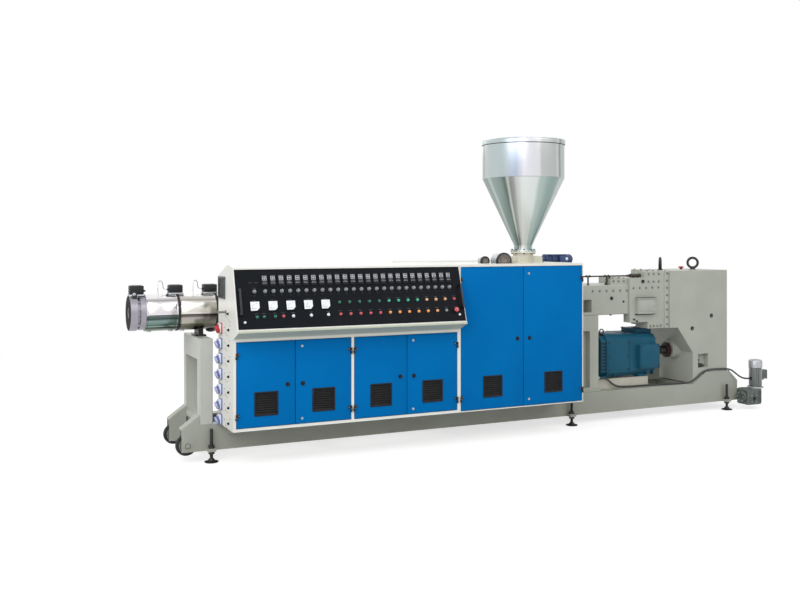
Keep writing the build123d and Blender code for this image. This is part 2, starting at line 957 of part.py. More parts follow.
with BuildPart() as hopper_lid:
    lid_radius = hopper_radius + seat_gap + lid_wall
    round_z(hopper_rim - lid_skirt, hopper_rim + lid_thickness, x_hopper, axis_y, lid_radius)
    round_z(
        hopper_rim - lid_skirt, hopper_rim, x_hopper, axis_y, hopper_radius + seat_gap,
        Mode.SUBTRACT,
    )
save(hopper_lid, "hopper_lid")

# Feeder under the hopper: flange, neck, screw housing along x and the feed throat
feeder_half_width = 62
feeder_height = 66
feeder_neck_radius = 98
feeder_round = 25
feeder_top = barrel_cabinet_top + feeder_height
with BuildPart() as hopper_feeder:
    block(
        x_hopper - feeder_left, x_hopper + feeder_right, axis_y - feeder_half_width,
        axis_y + feeder_half_width, barrel_cabinet_top, feeder_top,
    )
    fillet(
        hopper_feeder.faces().sort_by(Axis.Z)[-1].edges().filter_by(Axis.X), feeder_round
    )
    round_z(
        barrel_cabinet_top, hopper_flange_bottom - hopper_flange, x_hopper, axis_y,
        feeder_neck_radius,
    )
    round_z(
        hopper_flange_bottom - hopper_flange, hopper_flange_bottom, x_hopper, axis_y,
        hopper_flange_radius,
    )
    round_z(barrel_axis_height, barrel_cabinet_top, x_hopper, axis_y, throat_radius)
    round_x(
        x_hopper - feeder_left, x_hopper + feeder_right, axis_y, barrel_axis_height,
        barrel_core_radius + seat_gap, Mode.SUBTRACT,
    )
save(hopper_feeder, "hopper_feeder")

feeder_motor_rise = 33
feeder_motor_radius = 42
feeder_adapter_radius = 36
feeder_adapter_length = 70
feeder_motor_flange = 12
feeder_flange_radius = 50
feeder_body_length = 230
feeder_cowl_length = 70
feeder_cowl_radius = 48
cowl_chamfer = 12
fin_height = 6
fin_thickness = 3
feeder_fin_count = 18
feeder_motor_axis = barrel_cabinet_top + feeder_motor_rise
with BuildPart() as feeder_motor:
    x0 = x_hopper + feeder_right
    x1 = x0 + feeder_adapter_length
    x2 = x1 + feeder_body_length
    x3 = x2 + feeder_cowl_length
    round_x(x2, x3, axis_y, feeder_motor_axis, feeder_cowl_radius)
    chamfer(feeder_motor.edges().filter_by(GeomType.CIRCLE).sort_by(Axis.X)[-1], cowl_chamfer)
    round_x(x0, x1, axis_y, feeder_motor_axis, feeder_adapter_radius)
    round_x(x1 - feeder_motor_flange, x1, axis_y, feeder_motor_axis, feeder_flange_radius)
    round_x(x1, x2, axis_y, feeder_motor_axis, feeder_motor_radius)
    with BuildSketch(Plane.YZ.offset(x1)):
        with Locations((axis_y, feeder_motor_axis)):
            with PolarLocations(feeder_motor_radius, feeder_fin_count):
                Rectangle(2 * fin_height, fin_thickness)
    extrude(amount=feeder_body_length)
    block(
        x0, x1, axis_y - feeder_flange_radius, axis_y + feeder_flange_radius,
        feeder_motor_axis - 2 * feeder_flange_radius, barrel_cabinet_top, Mode.SUBTRACT,
    )
    block(
        x1, x3, axis_y - feeder_flange_radius, axis_y + feeder_flange_radius,
        feeder_motor_axis - 2 * feeder_flange_radius, barrel_cabinet_top, Mode.SUBTRACT,
    )
save(feeder_motor, "feeder_motor")

# Cooling blowers on the roof of the barrel cabinet, each with a round inlet towards the operator
blower_rise = 22
inlet_wall = 10
inlet_depth = 14
blowers = [(287, 80, -130, 20), (432, 46, -30, 70)]
with BuildPart() as cooling_blowers:
    for setback, radius, near, far in blowers:
        x = x_hopper - setback
        z = barrel_cabinet_top + blower_rise
        round_y(axis_y + near, axis_y + far, x, z, radius)
        round_y(axis_y + near, axis_y + near + inlet_depth, x, z, radius - inlet_wall, Mode.SUBTRACT)
        round_y(axis_y + near, axis_y + near + inlet_depth, x, z, radius / 3)
        block(
            x - radius, x + radius, axis_y + near, axis_y + far, z - radius, barrel_cabinet_top,
            Mode.SUBTRACT,
        )
save(cooling_blowers, "cooling_blowers")

# Housing that joins the barrel to the gearboxes
connector_top = connector_bottom + connector_height
window_start = 200
window_end = 430
window_bottom = 30
window_height = 122
window_depth = 120
upper_cover_length = 205
upper_cover_height = 60
upper_cover_inset = 14
upper_cover_depth = 108
with BuildPart() as connecting_housing:
    half = connector_width / 2
    block(x_connector, x_distribution, axis_y - half, axis_y + half, connector_bottom, connector_top)
    chamfer(connecting_housing.edges().filter_by(Axis.X), 5)
    block(
        x_distribution - upper_cover_length, x_distribution, axis_y - half + upper_cover_inset,
        axis_y - half + upper_cover_inset + upper_cover_depth, connector_top,
        connector_top + upper_cover_height,
    )
    for side in (-1, 1):
        block(
            x_connector + window_start, x_connector + window_end, axis_y + side * half,
            axis_y + side * (half - window_depth), connector_bottom + window_bottom,
            connector_bottom + window_bottom + window_height, Mode.SUBTRACT,
        )
save(connecting_housing, "connecting_housing")

# Column under the housing, recessed on both faces
recess_start = 100
recess_end = 240
recess_depth = 60
recess_bottom = 12
recess_top = 150
column_plate = 22
column_plate_reach = 24
gland_radius = 14
gland_length = 18
conduit_radius = 9
conduit_start_height = 118
conduit_start_y = axis_y - 215
with BuildPart() as support_column:
    half = column_width / 2
    block(x_column, x_column_end, axis_y - half, axis_y + half, rail_top, connector_bottom)
    block(
        x_column - column_plate_reach, x_column_end, axis_y - half - column_plate_reach,
        axis_y + half + column_plate_reach, rail_top, rail_top + column_plate,
    )
    for side in (-1, 1):
        block(
            x_column + recess_start, x_column + recess_end, axis_y + side * half,
            axis_y + side * (half - recess_depth), rail_top + column_plate + recess_bottom,
            connector_bottom - recess_top, Mode.SUBTRACT,
        )
    round_x(
        x_column_end, x_column_end + gland_length, conduit_start_y,
        rail_top + conduit_start_height, gland_radius,
    )
save(support_column, "support_column")

# Distribution gearbox: step and ledges on the operator's side, and a bolted flange strip
step_length = 190
step_drop = 65
shelf_length = 255
strip_length = 50
step_depth = 122
ledge_depth = 100
shelf_depth = 190
with BuildPart() as distribution_gearbox:
    near_y = axis_y - distribution_width / 2
    far_y = axis_y + distribution_width / 2
    step_bottom = gearbox_top - step_drop
    block(x_distribution, x_reduction, near_y, far_y, connector_bottom, step_bottom)
    block(
        x_distribution + step_length, x_reduction, near_y, near_y + step_depth,
        step_bottom, gearbox_top,
    )
    block(
        x_distribution, x_reduction, near_y, near_y + ledge_depth,
        distribution_bottom, connector_bottom,
    )
    block(
        x_reduction - shelf_length, x_reduction, near_y, near_y + shelf_depth,
        gearbox_cut_height, connector_bottom,
    )
    block(
        x_reduction - strip_length, x_reduction, axis_y - flange_strip_width / 2,
        axis_y + flange_strip_width / 2, gearbox_cut_height, gearbox_top,
    )
save(distribution_gearbox, "distribution_gearbox")

inspection_offset = 75
inspection_length = 220
inspection_rise = 86
inspection_height = 150
inspection_depth = 40
inspection_lid = 8
inspection_bottom = distribution_bottom + inspection_rise
with BuildPart() as inspection_cover:
    face_y = axis_y - distribution_width / 2
    x0 = x_distribution + inspection_offset
    block(
        x0, x0 + inspection_length, face_y - inspection_depth, face_y,
        inspection_bottom, inspection_bottom + inspection_height,
    )
    block(
        x0 - inspection_lid, x0 + inspection_length + inspection_lid,
        face_y - inspection_depth - inspection_lid, face_y,
        inspection_bottom + inspection_height, inspection_bottom + inspection_height + inspection_lid,
    )
save(inspection_cover, "inspection_cover")

# Reduction gearbox: tall casing, cut away below for the motor's coupling
cut_start = 103
reduction_width = base_width - 2 * rail_plate
motor_rail_height = 96
motor_foot = 14
motor_clearance = 15
top_box_rise = 37
motor_axis_offset = 4.5
motor_rail_top = rail_top + motor_rail_height
motor_bottom = motor_rail_top + motor_foot
motor_top = gearbox_cut_height - motor_clearance - top_box_rise
motor_axis_height = (motor_bottom + motor_top) / 2 + motor_axis_offset
input_boss_radius = 95
input_boss_length = 95
casing_hole_radius = 13
casing_hole_depth = 30
casing_holes = [(545, 467), (291, 589)]
pocket_start = 367
pocket_end = 501
pocket_bottom = 156
pocket_top = 296
cut_slope_drop = 10
pocket_depth = 50
with BuildPart() as reduction_gearbox:
    half = reduction_width / 2
    side_plate(
        [
            (x_reduction, gearbox_cut_height),
            (x_reduction, gearbox_top),
            (x_reduction_end, gearbox_top),
            (x_reduction_end, rail_top),
            (x_plinth, rail_top),
            (x_plinth, motor_axis_height - cut_slope_drop),
            (x_reduction + cut_start, gearbox_cut_height),
        ],
        axis_y - half,
        axis_y + half,
    )
    round_x(
        x_plinth - input_boss_length, x_plinth + input_boss_length, axis_y,
        motor_axis_height, input_boss_radius,
    )
    for side in (-1, 1):
        face_y = axis_y + side * half
        for offset, drop in casing_holes:
            round_y(
                face_y, face_y - side * casing_hole_depth, x_reduction + offset,
                gearbox_top - drop, casing_hole_radius, Mode.SUBTRACT,
            )
        block(
            x_reduction + pocket_start, x_reduction + pocket_end, face_y,
            face_y - side * pocket_depth, rail_top + pocket_bottom, rail_top + pocket_top,
            Mode.SUBTRACT,
        )
save(reduction_gearbox, "reduction_gearbox")

# Lifting eyes on the reduction gearbox, turned a quarter turn to each other
eye_radius = 51
eye_rod = 13
eye_sides = 8
eye_stem = 20
eye_seat = 5
eye_stem_radius = 24
eyes = [(115, 45), (551, -45)]
with BuildPart() as lifting_eyes:
    for offset, turn in eyes:
        x = x_reduction + offset
        round_z(gearbox_top, gearbox_top + eye_stem + eye_seat, x, axis_y, eye_stem_radius)
        centre = Vector(x, axis_y, gearbox_top + eye_stem + eye_radius)
        across = Vector(0, 1, 0).rotate(Axis.Z, turn)
        with BuildSketch(Plane(centre, x_dir=(0, 0, 1), z_dir=Vector(0, 0, 1).cross(across))):
            with Locations((eye_radius, 0)):
                RegularPolygon(eye_rod, eye_sides)
        revolve(axis=Axis(centre, across))
save(lifting_eyes, "lifting_eyes")

# Main motor on two rails, with end shields, feet, terminal box and top box
motor_rail_width = 60
motor_rail_inset = 125
motor_rail_overhang = 75
motor_foot_length = 90
motor_half_width = 205
motor_body_start = 60
motor_body_length = 560
motor_corner = 45
motor_shield = 60
motor_shield_inset = 12
terminal_length = 250
terminal_depth = 46
terminal_rise = 70
terminal_drop = 105
top_box_length = 190
top_box_half = 120
terminal_bottom = motor_bottom + terminal_rise
terminal_top = motor_top - terminal_drop
slot_count = 9
slot_share = 0.45
slot_from_corner = 20
slot_margin = 6
x_motor = x_column_end + motor_body_start
x_motor_end = x_motor + motor_body_length + 2 * motor_shield
with BuildPart() as motor_rails:
    for side in (-1, 1):
        y0 = axis_y + side * motor_rail_inset
        block(
            x_motor_beam - motor_rail_overhang,
            x_motor_beam + motor_beam_spacing + motor_rail_overhang,
            y0, y0 + side * motor_rail_width, rail_top - rail_plate, motor_rail_top,
        )
save(motor_rails, "motor_rails")


def octagon(half, low, high, corner):
    return [
        (axis_y - half + corner, low),
        (axis_y + half - corner, low),
        (axis_y + half, low + corner),
        (axis_y + half, high - corner),
        (axis_y + half - corner, high),
        (axis_y - half + corner, high),
        (axis_y - half, high - corner),
        (axis_y - half, low + corner),
    ]


with BuildPart() as main_motor:
    inset = motor_shield_inset
    cross_plate(
        octagon(motor_half_width, motor_bottom, motor_top, motor_corner),
        x_motor + motor_shield,
        x_motor_end - motor_shield,
    )
    cross_plate(
        octagon(motor_half_width - inset, motor_bottom + inset, motor_top - inset, motor_corner),
        x_motor,
        x_motor_end,
    )
    for x in (x_motor_beam, x_motor_beam + motor_beam_spacing):
        block(
            x - motor_foot_length / 2, x + motor_foot_length / 2,
            axis_y - motor_rail_inset - motor_rail_width,
            axis_y + motor_rail_inset + motor_rail_width, motor_rail_top,
            motor_bottom + motor_shield_inset,
        )
    face_y = axis_y - motor_half_width
    block(
        x_motor_end - terminal_length, x_motor_end, face_y - terminal_depth, face_y + inset,
        terminal_bottom, terminal_top,
    )
    block(
        x_motor_end - top_box_length, x_motor_end, axis_y - top_box_half, axis_y + top_box_half,
        motor_top - 2 * inset, motor_top + top_box_rise,
    )
    slot_start = motor_bottom + motor_corner + slot_from_corner
    slot_end = motor_top - motor_corner - slot_from_corner
    slot_pitch = (slot_end - slot_start) / slot_count
    for i in range(slot_count):
        z = slot_start + slot_pitch * (i + 0.5)
        block(
            x_motor + slot_margin, x_motor + motor_shield - slot_margin, face_y + inset,
            face_y + 2 * inset, z - slot_pitch * slot_share / 2, z + slot_pitch * slot_share / 2,
            Mode.SUBTRACT,
        )
save(main_motor, "main_motor")

# Coupling between motor and gearbox
coupling_radius = 80
coupling_hub_radius = 58
coupling_disc_start = 20
coupling_disc_end = 75
coupling_hub_end = 100
shaft_radius = 42
with BuildPart() as drive_coupling:
    x_boss = x_plinth - input_boss_length
    round_x(x_motor_end, x_motor_end + coupling_hub_end, axis_y, motor_axis_height, coupling_hub_radius)
    round_x(
        x_motor_end + coupling_disc_start, x_motor_end + coupling_disc_end, axis_y,
        motor_axis_height, coupling_radius,
    )
    round_x(x_motor_end, x_boss, axis_y, motor_axis_height, shaft_radius)
save(drive_coupling, "drive_coupling")

# Oil pipe along the connecting housing, on two T posts
pipe_radius = 7
pipe_rise = 85
pipe_reach = 170
pipe_height = connector_top + pipe_rise
pipe_y = axis_y - pipe_reach
pipe_start = 250
pipe_cylinder = 125
pipe_cylinder_radius = 20
pipe_posts = [432, 655]
post_radius = 8
post_head = 64
post_head_height = 16
with BuildPart() as oil_pipe:
    x_pipe_end = x_distribution + step_length
    round_x(x_connector + pipe_start, x_pipe_end, pipe_y, pipe_height, pipe_radius)
    round_x(x_pipe_end - pipe_cylinder, x_pipe_end, pipe_y, pipe_height, pipe_cylinder_radius)
    for offset in pipe_posts:
        x = x_connector + offset
        round_z(connector_top, pipe_height, x, pipe_y, post_radius)
        block(
            x - post_head / 2, x + post_head / 2, pipe_y - post_radius, pipe_y + post_radius,
            pipe_height - post_head_height / 2, pipe_height + post_head_height / 2,
        )
save(oil_pipe, "oil_pipe")

# Gearmotor beside the right-hand end: worm box, upright motor, bracket plate
worm_start = 6
worm_length = 196
worm_depth = 140
worm_drop = 36
worm_height = 162
worm_chamfer = 14
worm_side_cover = 25
worm_side_radius = 58
worm_shaft_offset = 183
worm_round_radius = 56
worm_round_step = 10
output_bore_radius = 15
output_bore_depth = 100
output_hub_radius = 34
output_hub = 6
bore_offset = 93
bore_height = 62
bracket_gap = 5
bracket_reach = 170
bracket_rise = 13
bracket_height = 104
worm_bottom = ground_clearance - worm_drop
bracket_bottom = ground_clearance + bracket_rise
x_worm = x_base_right - worm_start
worm_back_y = near_rail_y - bracket_gap
worm_front_y = worm_back_y - worm_depth
worm_middle_y = (worm_back_y + worm_front_y) / 2
x_gearmotor = x_worm + worm_shaft_offset
with BuildPart() as gearmotor_reducer:
    block(
        x_worm, x_worm + worm_length, worm_front_y, worm_back_y, worm_bottom,
        worm_bottom + worm_height,
    )
    chamfer(gearmotor_reducer.edges().filter_by(Axis.Y), worm_chamfer)
    round_z(
        worm_bottom + worm_round_step, worm_bottom + worm_height, x_gearmotor, worm_middle_y,
        worm_round_radius,
    )
    round_x(
        x_worm - worm_side_cover, x_worm, worm_middle_y, worm_bottom + worm_height / 2,
        worm_side_radius,
    )
    x_bore = x_worm + bore_offset
    z_bore = worm_bottom + bore_height
    round_y(worm_front_y - output_hub, worm_front_y, x_bore, z_bore, output_hub_radius)
    round_y(
        worm_front_y - output_hub, worm_front_y + output_bore_depth, x_bore, z_bore,
        output_bore_radius, Mode.SUBTRACT,
    )
    block(
        x_base_right, x_worm + bracket_reach, worm_back_y, near_rail_y + rail_plate,
        bracket_bottom, bracket_bottom + bracket_height,
    )
save(gearmotor_reducer, "gearmotor_reducer")

gear_flange_radius = 80
gear_flange = 14
gear_body_radius = 58
gear_body_height = 219
gear_cowl_radius = 69
gear_cowl_height = 72
gear_fin_count = 20
gear_terminal_reach = x_right - x_gearmotor
gear_terminal_half = 32
gear_terminal_rise = 89
gear_terminal_height = 92
conduit_end_height = 21
with BuildPart() as gearmotor_motor:
    z0 = worm_bottom + worm_height
    z1 = z0 + gear_body_height
    z2 = z1 + gear_cowl_height
    round_z(z1, z2, x_gearmotor, worm_middle_y, gear_cowl_radius)
    chamfer(gearmotor_motor.edges().filter_by(GeomType.CIRCLE).sort_by(Axis.Z)[-1], cowl_chamfer)
    round_z(z0, z0 + gear_flange, x_gearmotor, worm_middle_y, gear_flange_radius)
    round_z(z0, z1, x_gearmotor, worm_middle_y, gear_body_radius)
    with BuildSketch(Plane.XY.offset(z0)):
        with Locations((x_gearmotor, worm_middle_y)):
            with PolarLocations(gear_body_radius, gear_fin_count):
                Rectangle(2 * fin_height, fin_thickness)
    extrude(amount=gear_body_height)
    block(
        x_gearmotor, x_gearmotor + gear_terminal_reach, worm_middle_y - gear_terminal_half,
        worm_middle_y + gear_terminal_half, z0 + gear_terminal_rise,
        z0 + gear_terminal_rise + gear_terminal_height,
    )
    gland_face = x_gearmotor - gear_body_radius - fin_height - gland_length
    round_x(
        gland_face, x_gearmotor, worm_middle_y, rail_top + conduit_end_height, gland_radius
    )
save(gearmotor_motor, "gearmotor_motor")

# Cable conduit: from the column along the near rail, over its raised end, to the gearmotor
conduit_sides = 8
conduit_rest = conduit_radius + seat_gap
conduit_over_y = near_rail_y + 1
route = [
    (x_column_end + gland_length, conduit_start_y, rail_top + conduit_start_height),
    (x_column_end + 100, conduit_start_y, rail_top + conduit_start_height),
    (x_column_end + 205, conduit_start_y + 4, rail_top + 26),
    (x_column_end + 340, conduit_start_y + 8, rail_top + conduit_rest),
    (x_column_end + 570, conduit_start_y + 3, rail_top + conduit_rest),
    (x_column_end + 830, conduit_start_y - 22, rail_top + conduit_rest),
    (x_plinth - 130, conduit_over_y + 22, rail_top + conduit_rest),
    (x_plinth - 14, conduit_over_y, rail_top + conduit_rest + 7),
    (x_plinth + 142, conduit_over_y, raised_top + conduit_rest + 12),
    (x_plinth + 330, conduit_over_y - 2, raised_top + conduit_rest + 12),
    (x_plinth + 485, conduit_over_y - 1, raised_top + conduit_rest + 4),
    (x_base_right - 46, conduit_over_y - 24.5, raised_top - 34),
    (x_base_right - 17, worm_middle_y + 22, rail_top + conduit_end_height + 21),
    (x_base_right + 32, worm_middle_y, rail_top + conduit_end_height),
    (gland_face, worm_middle_y, rail_top + conduit_end_height),
]
runs = [Vector(*b) - Vector(*a) for a, b in zip(route, route[1:])]
bend_radii = []
for before, after in zip(runs, runs[1:]):
    half_turn = radians(before.get_angle(after)) / 2
    bend_radii.append(0.45 * min(before.length, after.length) / tan(half_turn))
print("conduit bend radii", [round(r) for r in bend_radii])
with BuildPart() as cable_conduit:
    with BuildLine() as conduit_path:
        FilletPolyline(*route, radius=bend_radii)
    centre_line = conduit_path.wires()[0]
    with BuildSketch(Plane(centre_line @ 0, z_dir=centre_line % 0)):
        RegularPolygon(conduit_radius, conduit_sides)
    sweep()
section_area = conduit_sides / 2 * conduit_radius**2 * sin(2 * pi / conduit_sides)
tube_volume = section_area * centre_line.length
print("conduit length", round(centre_line.length))
print("conduit volume ratio", round(cable_conduit.part.volume / tube_volume, 4))
save(cable_conduit, "cable_conduit")
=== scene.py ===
# Twin-screw plastic extruder, dressed for the picture.
# New pieces are modelled in millimetres in the machine's frame and scaled to metres at the end:
# +X runs from the die to the gearmotor, +Y away from the operator, +Z up from the floor.

from math import cos, pi, radians, sin

import bpy
from mathutils import Matrix, Vector


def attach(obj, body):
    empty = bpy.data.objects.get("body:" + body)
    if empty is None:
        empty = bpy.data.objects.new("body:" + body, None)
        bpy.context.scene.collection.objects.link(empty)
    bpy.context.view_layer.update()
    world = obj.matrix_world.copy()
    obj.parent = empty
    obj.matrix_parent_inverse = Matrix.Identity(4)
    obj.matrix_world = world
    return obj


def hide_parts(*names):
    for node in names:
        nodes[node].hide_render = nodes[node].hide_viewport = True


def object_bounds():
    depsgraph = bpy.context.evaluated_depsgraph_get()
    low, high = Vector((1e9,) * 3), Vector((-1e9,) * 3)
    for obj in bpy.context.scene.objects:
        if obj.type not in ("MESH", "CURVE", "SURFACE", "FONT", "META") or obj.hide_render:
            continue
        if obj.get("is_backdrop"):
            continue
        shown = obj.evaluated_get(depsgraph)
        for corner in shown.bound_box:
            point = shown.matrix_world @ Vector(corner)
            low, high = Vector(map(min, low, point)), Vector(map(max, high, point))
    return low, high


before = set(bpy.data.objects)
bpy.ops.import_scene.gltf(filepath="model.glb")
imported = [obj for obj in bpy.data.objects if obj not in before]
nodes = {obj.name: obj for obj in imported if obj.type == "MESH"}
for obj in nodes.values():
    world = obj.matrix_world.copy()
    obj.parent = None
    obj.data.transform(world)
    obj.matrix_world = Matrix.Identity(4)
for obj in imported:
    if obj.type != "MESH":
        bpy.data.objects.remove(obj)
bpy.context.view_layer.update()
print("frame loaded:", len(nodes), "nodes")

front, back, up, down, left, right = (0, -1, 0), (0, 1, 0), (0, 0, 1), (0, 0, -1), (-1, 0, 0), (1, 0, 0)


def toLinear(code):
    # an sRGB hex colour as the linear values that the shader wants
    parts = [int(code[i : i + 2], 16) / 255 for i in (1, 3, 5)]
    return [c / 12.92 if c <= 0.04045 else ((c + 0.055) / 1.055) ** 2.4 for c in parts] + [1.0]


def addNode(tree, kind, values=(), out=0):
    # one node with its properties, socket values and links; gives back one of its outputs
    node = tree.nodes.new("ShaderNode" + kind)
    for key, value in dict(values).items():
        if isinstance(value, bpy.types.NodeSocket):
            tree.links.new(value, node.inputs[key])
        elif isinstance(key, str) and hasattr(node, key):
            setattr(node, key, value)
        else:
            node.inputs[key].default_value = value
    return node.outputs[out] if len(node.outputs) else None


def addRamp(tree, stops, fac, interpolation="LINEAR"):
    # a colour ramp through its {position: hex colour} stops
    colour = addNode(tree, "ValToRGB", {"Fac": fac})
    ramp = colour.node.color_ramp
    ramp.interpolation = interpolation
    while len(ramp.elements) < len(stops):
        ramp.elements.new(0.5)
    for element, (position, code) in zip(ramp.elements, stops.items()):
        element.position = position
        element.color = toLinear(code)
    return colour


def addMath(tree, operation, first, second):
    return addNode(tree, "Math", {"operation": operation, 0: first, 1: second})


def addMix(tree, share, first, second):
    return addNode(tree, "Mix", {"data_type": "RGBA", 0: share, 6: first, 7: second}, 2)


def addBump(tree, strength, distance, height, more=()):
    return addNode(tree, "Bump", {"Strength": strength, "Distance": distance, "Height": height, **dict(more)})


def splitAxes(tree, vector):
    return addNode(tree, "SeparateXYZ", {"Vector": vector}).node.outputs


def newMaterial(name, settings):
    # a material, its shader's sockets and the piece's own coordinates
    material = bpy.data.materials.new(name)
    material.use_nodes = True
    tree = material.node_tree
    shader = tree.nodes["Principled BSDF"].inputs
    for key, value in settings.items():
        shader[key].default_value = value
    return tree, shader, addNode(tree, "TexCoord", out="Object")


def makeFinish(
    name, colour, shade, patch, grain, depth, rough, ior=1.5, level=0.5, metal=0.0, soil=0.0, paintedShadeZone=()
):
    # colour drifts to shade in patches; grain in millimetres is the surface's own relief
    settings = {"Roughness": rough, "IOR": ior, "Specular IOR Level": level, "Metallic": metal}
    tree, shader, place = newMaterial(name, settings)
    cloud = {"Scale": 1000 / patch, "Detail": 4.0, "Roughness": 0.55, "Vector": place}
    drift = addNode(tree, "TexNoise", cloud)
    tint = addRamp(tree, {0.35: colour, 0.75: shade}, drift)
    if soil:
        # dust from the floor settles on the lowest parts
        reach = {"From Min": 0.42, "From Max": 0.03, "To Min": 0.0, "To Max": soil}
        low = addNode(tree, "MapRange", {**reach, "Value": splitAxes(tree, place)["Z"]})
        tint = addMix(tree, addMath(tree, "MULTIPLY", low, drift), tint, toLinear("#8C8677"))
    if paintedShadeZone:
        # painted shade: a second, darker tone on everything right of, in front of and below one corner
        inside, tests = 1.0, ("GREATER_THAN", "LESS_THAN", "LESS_THAN")
        for test, limit, along in zip(tests, paintedShadeZone[1], splitAxes(tree, place)):
            inside = addMath(tree, "MULTIPLY", inside, addMath(tree, test, along, limit))
        tint = addMix(tree, inside, tint, toLinear(paintedShadeZone[0]))
    tree.links.new(tint, shader["Base Color"])
    relief = addNode(tree, "TexNoise", {"Scale": 1000 / grain, "Detail": 2.0, "Vector": place})
    tree.links.new(addBump(tree, 0.35, depth / 1000, relief), shader["Normal"])
    gloss = addNode(tree, "MapRange", {"To Min": rough - 0.06, "To Max": rough + 0.08, "Value": drift})
    tree.links.new(gloss, shader["Roughness"])


def aroundAxis(tree, place, centre, turn):
    # the coordinates of a turned part, with Z along its axis
    where = {"Location": [c / 1000 for c in centre], "Rotation": turn, "Vector": place}
    return addNode(tree, "Mapping", {"vector_type": "TEXTURE", **where})


def addLines(tree, along, pitch, detail):
    # a noise that only changes along one axis
    return addNode(
        tree, "TexNoise", {"noise_dimensions": "1D", "Scale": 1000 / pitch, "Detail": detail, "W": along}
    )


def makeTurned(name, colour, shade, centre, turn, pitch, rough, metal):
    # lathe marks: fine rings along the part's own axis
    tree, shader, place = newMaterial(name, {"Roughness": rough, "Metallic": metal})
    rings = addLines(tree, splitAxes(tree, aroundAxis(tree, place, centre, turn))["Z"], pitch, 3.0)
    tree.links.new(addRamp(tree, {0.3: colour, 0.8: shade}, rings), shader["Base Color"])
    tree.links.new(addBump(tree, 0.3, 0.0002, rings), shader["Normal"])


def makePolishedWithPaintedReflection(name, centre, turn, stops, brush, rough, above=()):
    # polished sheet rolled round an axis: soft bands of painted reflection that stay on the metal,
    # with fine polishing lines and a slight quilting from the rolling
    tree, shader, place = newMaterial(name, {"Roughness": rough, "Metallic": 1.0})
    around = aroundAxis(tree, place, centre, turn)
    axes = splitAxes(tree, around)
    wander = addNode(tree, "TexNoise", {"Scale": 3.0, "Detail": 2.0, "Vector": around})
    sway = addNode(tree, "MapRange", {"To Min": -0.05, "To Max": 0.05, "Value": wander})
    angle = addMath(tree, "ADD", addMath(tree, "ARCTAN2", axes["Y"], axes["X"]), sway)
    share = addNode(tree, "MapRange", {"From Min": -pi, "From Max": pi, "Value": angle})
    tint = addRamp(tree, stops, share, "EASE")
    if above:
        # the straight wall over the cone gets a painted reflection of another part of the hall
        over = addMath(tree, "GREATER_THAN", splitAxes(tree, place)["Z"], above[0] / 1000)
        tint = addMix(tree, over, tint, addRamp(tree, above[1], share, "EASE"))
    tree.links.new(tint, shader["Base Color"])
    fine = addBump(tree, 0.12, 0.0002, addLines(tree, axes["Z"], brush, 2.0))
    quilt = addNode(tree, "TexNoise", {"Scale": 6.0, "Vector": around})
    tree.links.new(addBump(tree, 0.25, 0.004, quilt, {"Normal": fine}), shader["Normal"])


# satin enamel sprayed on welded plate: soft sheen, faint orange peel, dust near the floor
makeFinish("enamelledPlate", "#A6AAA0", "#9CA096", 420, 3.0, 0.15, 0.38, soil=0.5)
# the trestle in the same grey enamel, without floor grime, painted lighter: painted light for the light that
# falls on it
makeFinish("enamelledPlatePaintedLight", "#BEC1B8", "#B4B7AE", 420, 3.0, 0.15, 0.38)
# paler primer of the motor's slide rails
makeFinish("paleRailEnamel", "#C4C1B4", "#B7B4A7", 120, 3.0, 0.15, 0.38)
# the same enamel on machined castings: a little coarser under the paint, and lighter than the plate's as
# painted light
makeFinish("enamelledCastingPaintedLight", "#B1B4A9", "#A8ABA1", 300, 4.0, 0.3, 0.38, soil=0.3)
# powder coat on folded sheet: clean, even, almost white
makeFinish("ivoryPowderCoat", "#ECECE6", "#E5E5DE", 600, 1.6, 0.08, 0.38)
# the console in the same ivory; its trough under the panel, which faces down, is painted stone-beige as
# painted shade
trough = ("#C8CDB9", (-2.5585, -0.6131, 1.0695))
makeFinish("ivoryConsoleCoat", "#ECECE6", "#E5E5DE", 600, 1.6, 0.08, 0.38, paintedShadeZone=trough)
# satin blue powder coat: deep, saturated colour with hardly any highlight
makeFinish("bluePowderCoat", "#0071B7", "#006AB1", 700, 1.8, 0.08, 0.5, level=0.04)
# charcoal screen-printed face plate: matt and fine-grained
makeFinish("charcoalPanel", "#15181D", "#121519", 300, 0.9, 0.05, 0.5, level=0.07)
# black textured powder coat of vents and fittings
makeFinish("blackPowderCoat", "#191A1C", "#202123", 60, 1.2, 0.12, 0.45, level=0.3)
# louvre sheets: brown-black, quite matt
makeFinish("louvreBlack", "#232324", "#1C1B1D", 40, 1.2, 0.1, 0.55, level=0.2)
# bolt heads under thin casing paint: dull grey dots on the castings
makeFinish("overpaintedBolt", "#868A82", "#6A6E67", 14, 1.0, 0.08, 0.55)
# black-anodised grab bars: dark with one thin highlight
makeFinish("blackAnodised", "#1A1B1E", "#131417", 50, 0.6, 0.03, 0.3, metal=0.2)
# anthracite enamel of the side louvre
makeFinish("anthraciteLouvre", "#4A4F54", "#3A3F44", 90, 1.5, 0.08, 0.38)
# phosphated foot steel: almost black, oily sheen
makeFinish("blackenedSteel", "#2A2A2B", "#3A3836", 60, 1.5, 0.15, 0.42, metal=0.6)
# zinc-plated screws: bright, slightly blue
makeFinish("zincPlate", "#B9BDC2", "#A3A8AE", 30, 0.8, 0.03, 0.32, metal=1.0)
# matt brown-black on the die's seat: painted shade of the face, which lies in shadow
makeFinish("dieFacePaintedShade", "#262524", "#322F2C", 40, 1.5, 0.2, 0.7, level=0.1)
# grey enamelled wheel centres
makeFinish("wheelEnamel", "#989C9A", "#7E8280", 40, 2.0, 0.15, 0.38)
# solid rubber tyre on the transport wheels: matt black with scuffs
makeFinish("tyreRubber", "#1B1B1C", "#2B2A29", 40, 1.2, 0.25, 0.75)
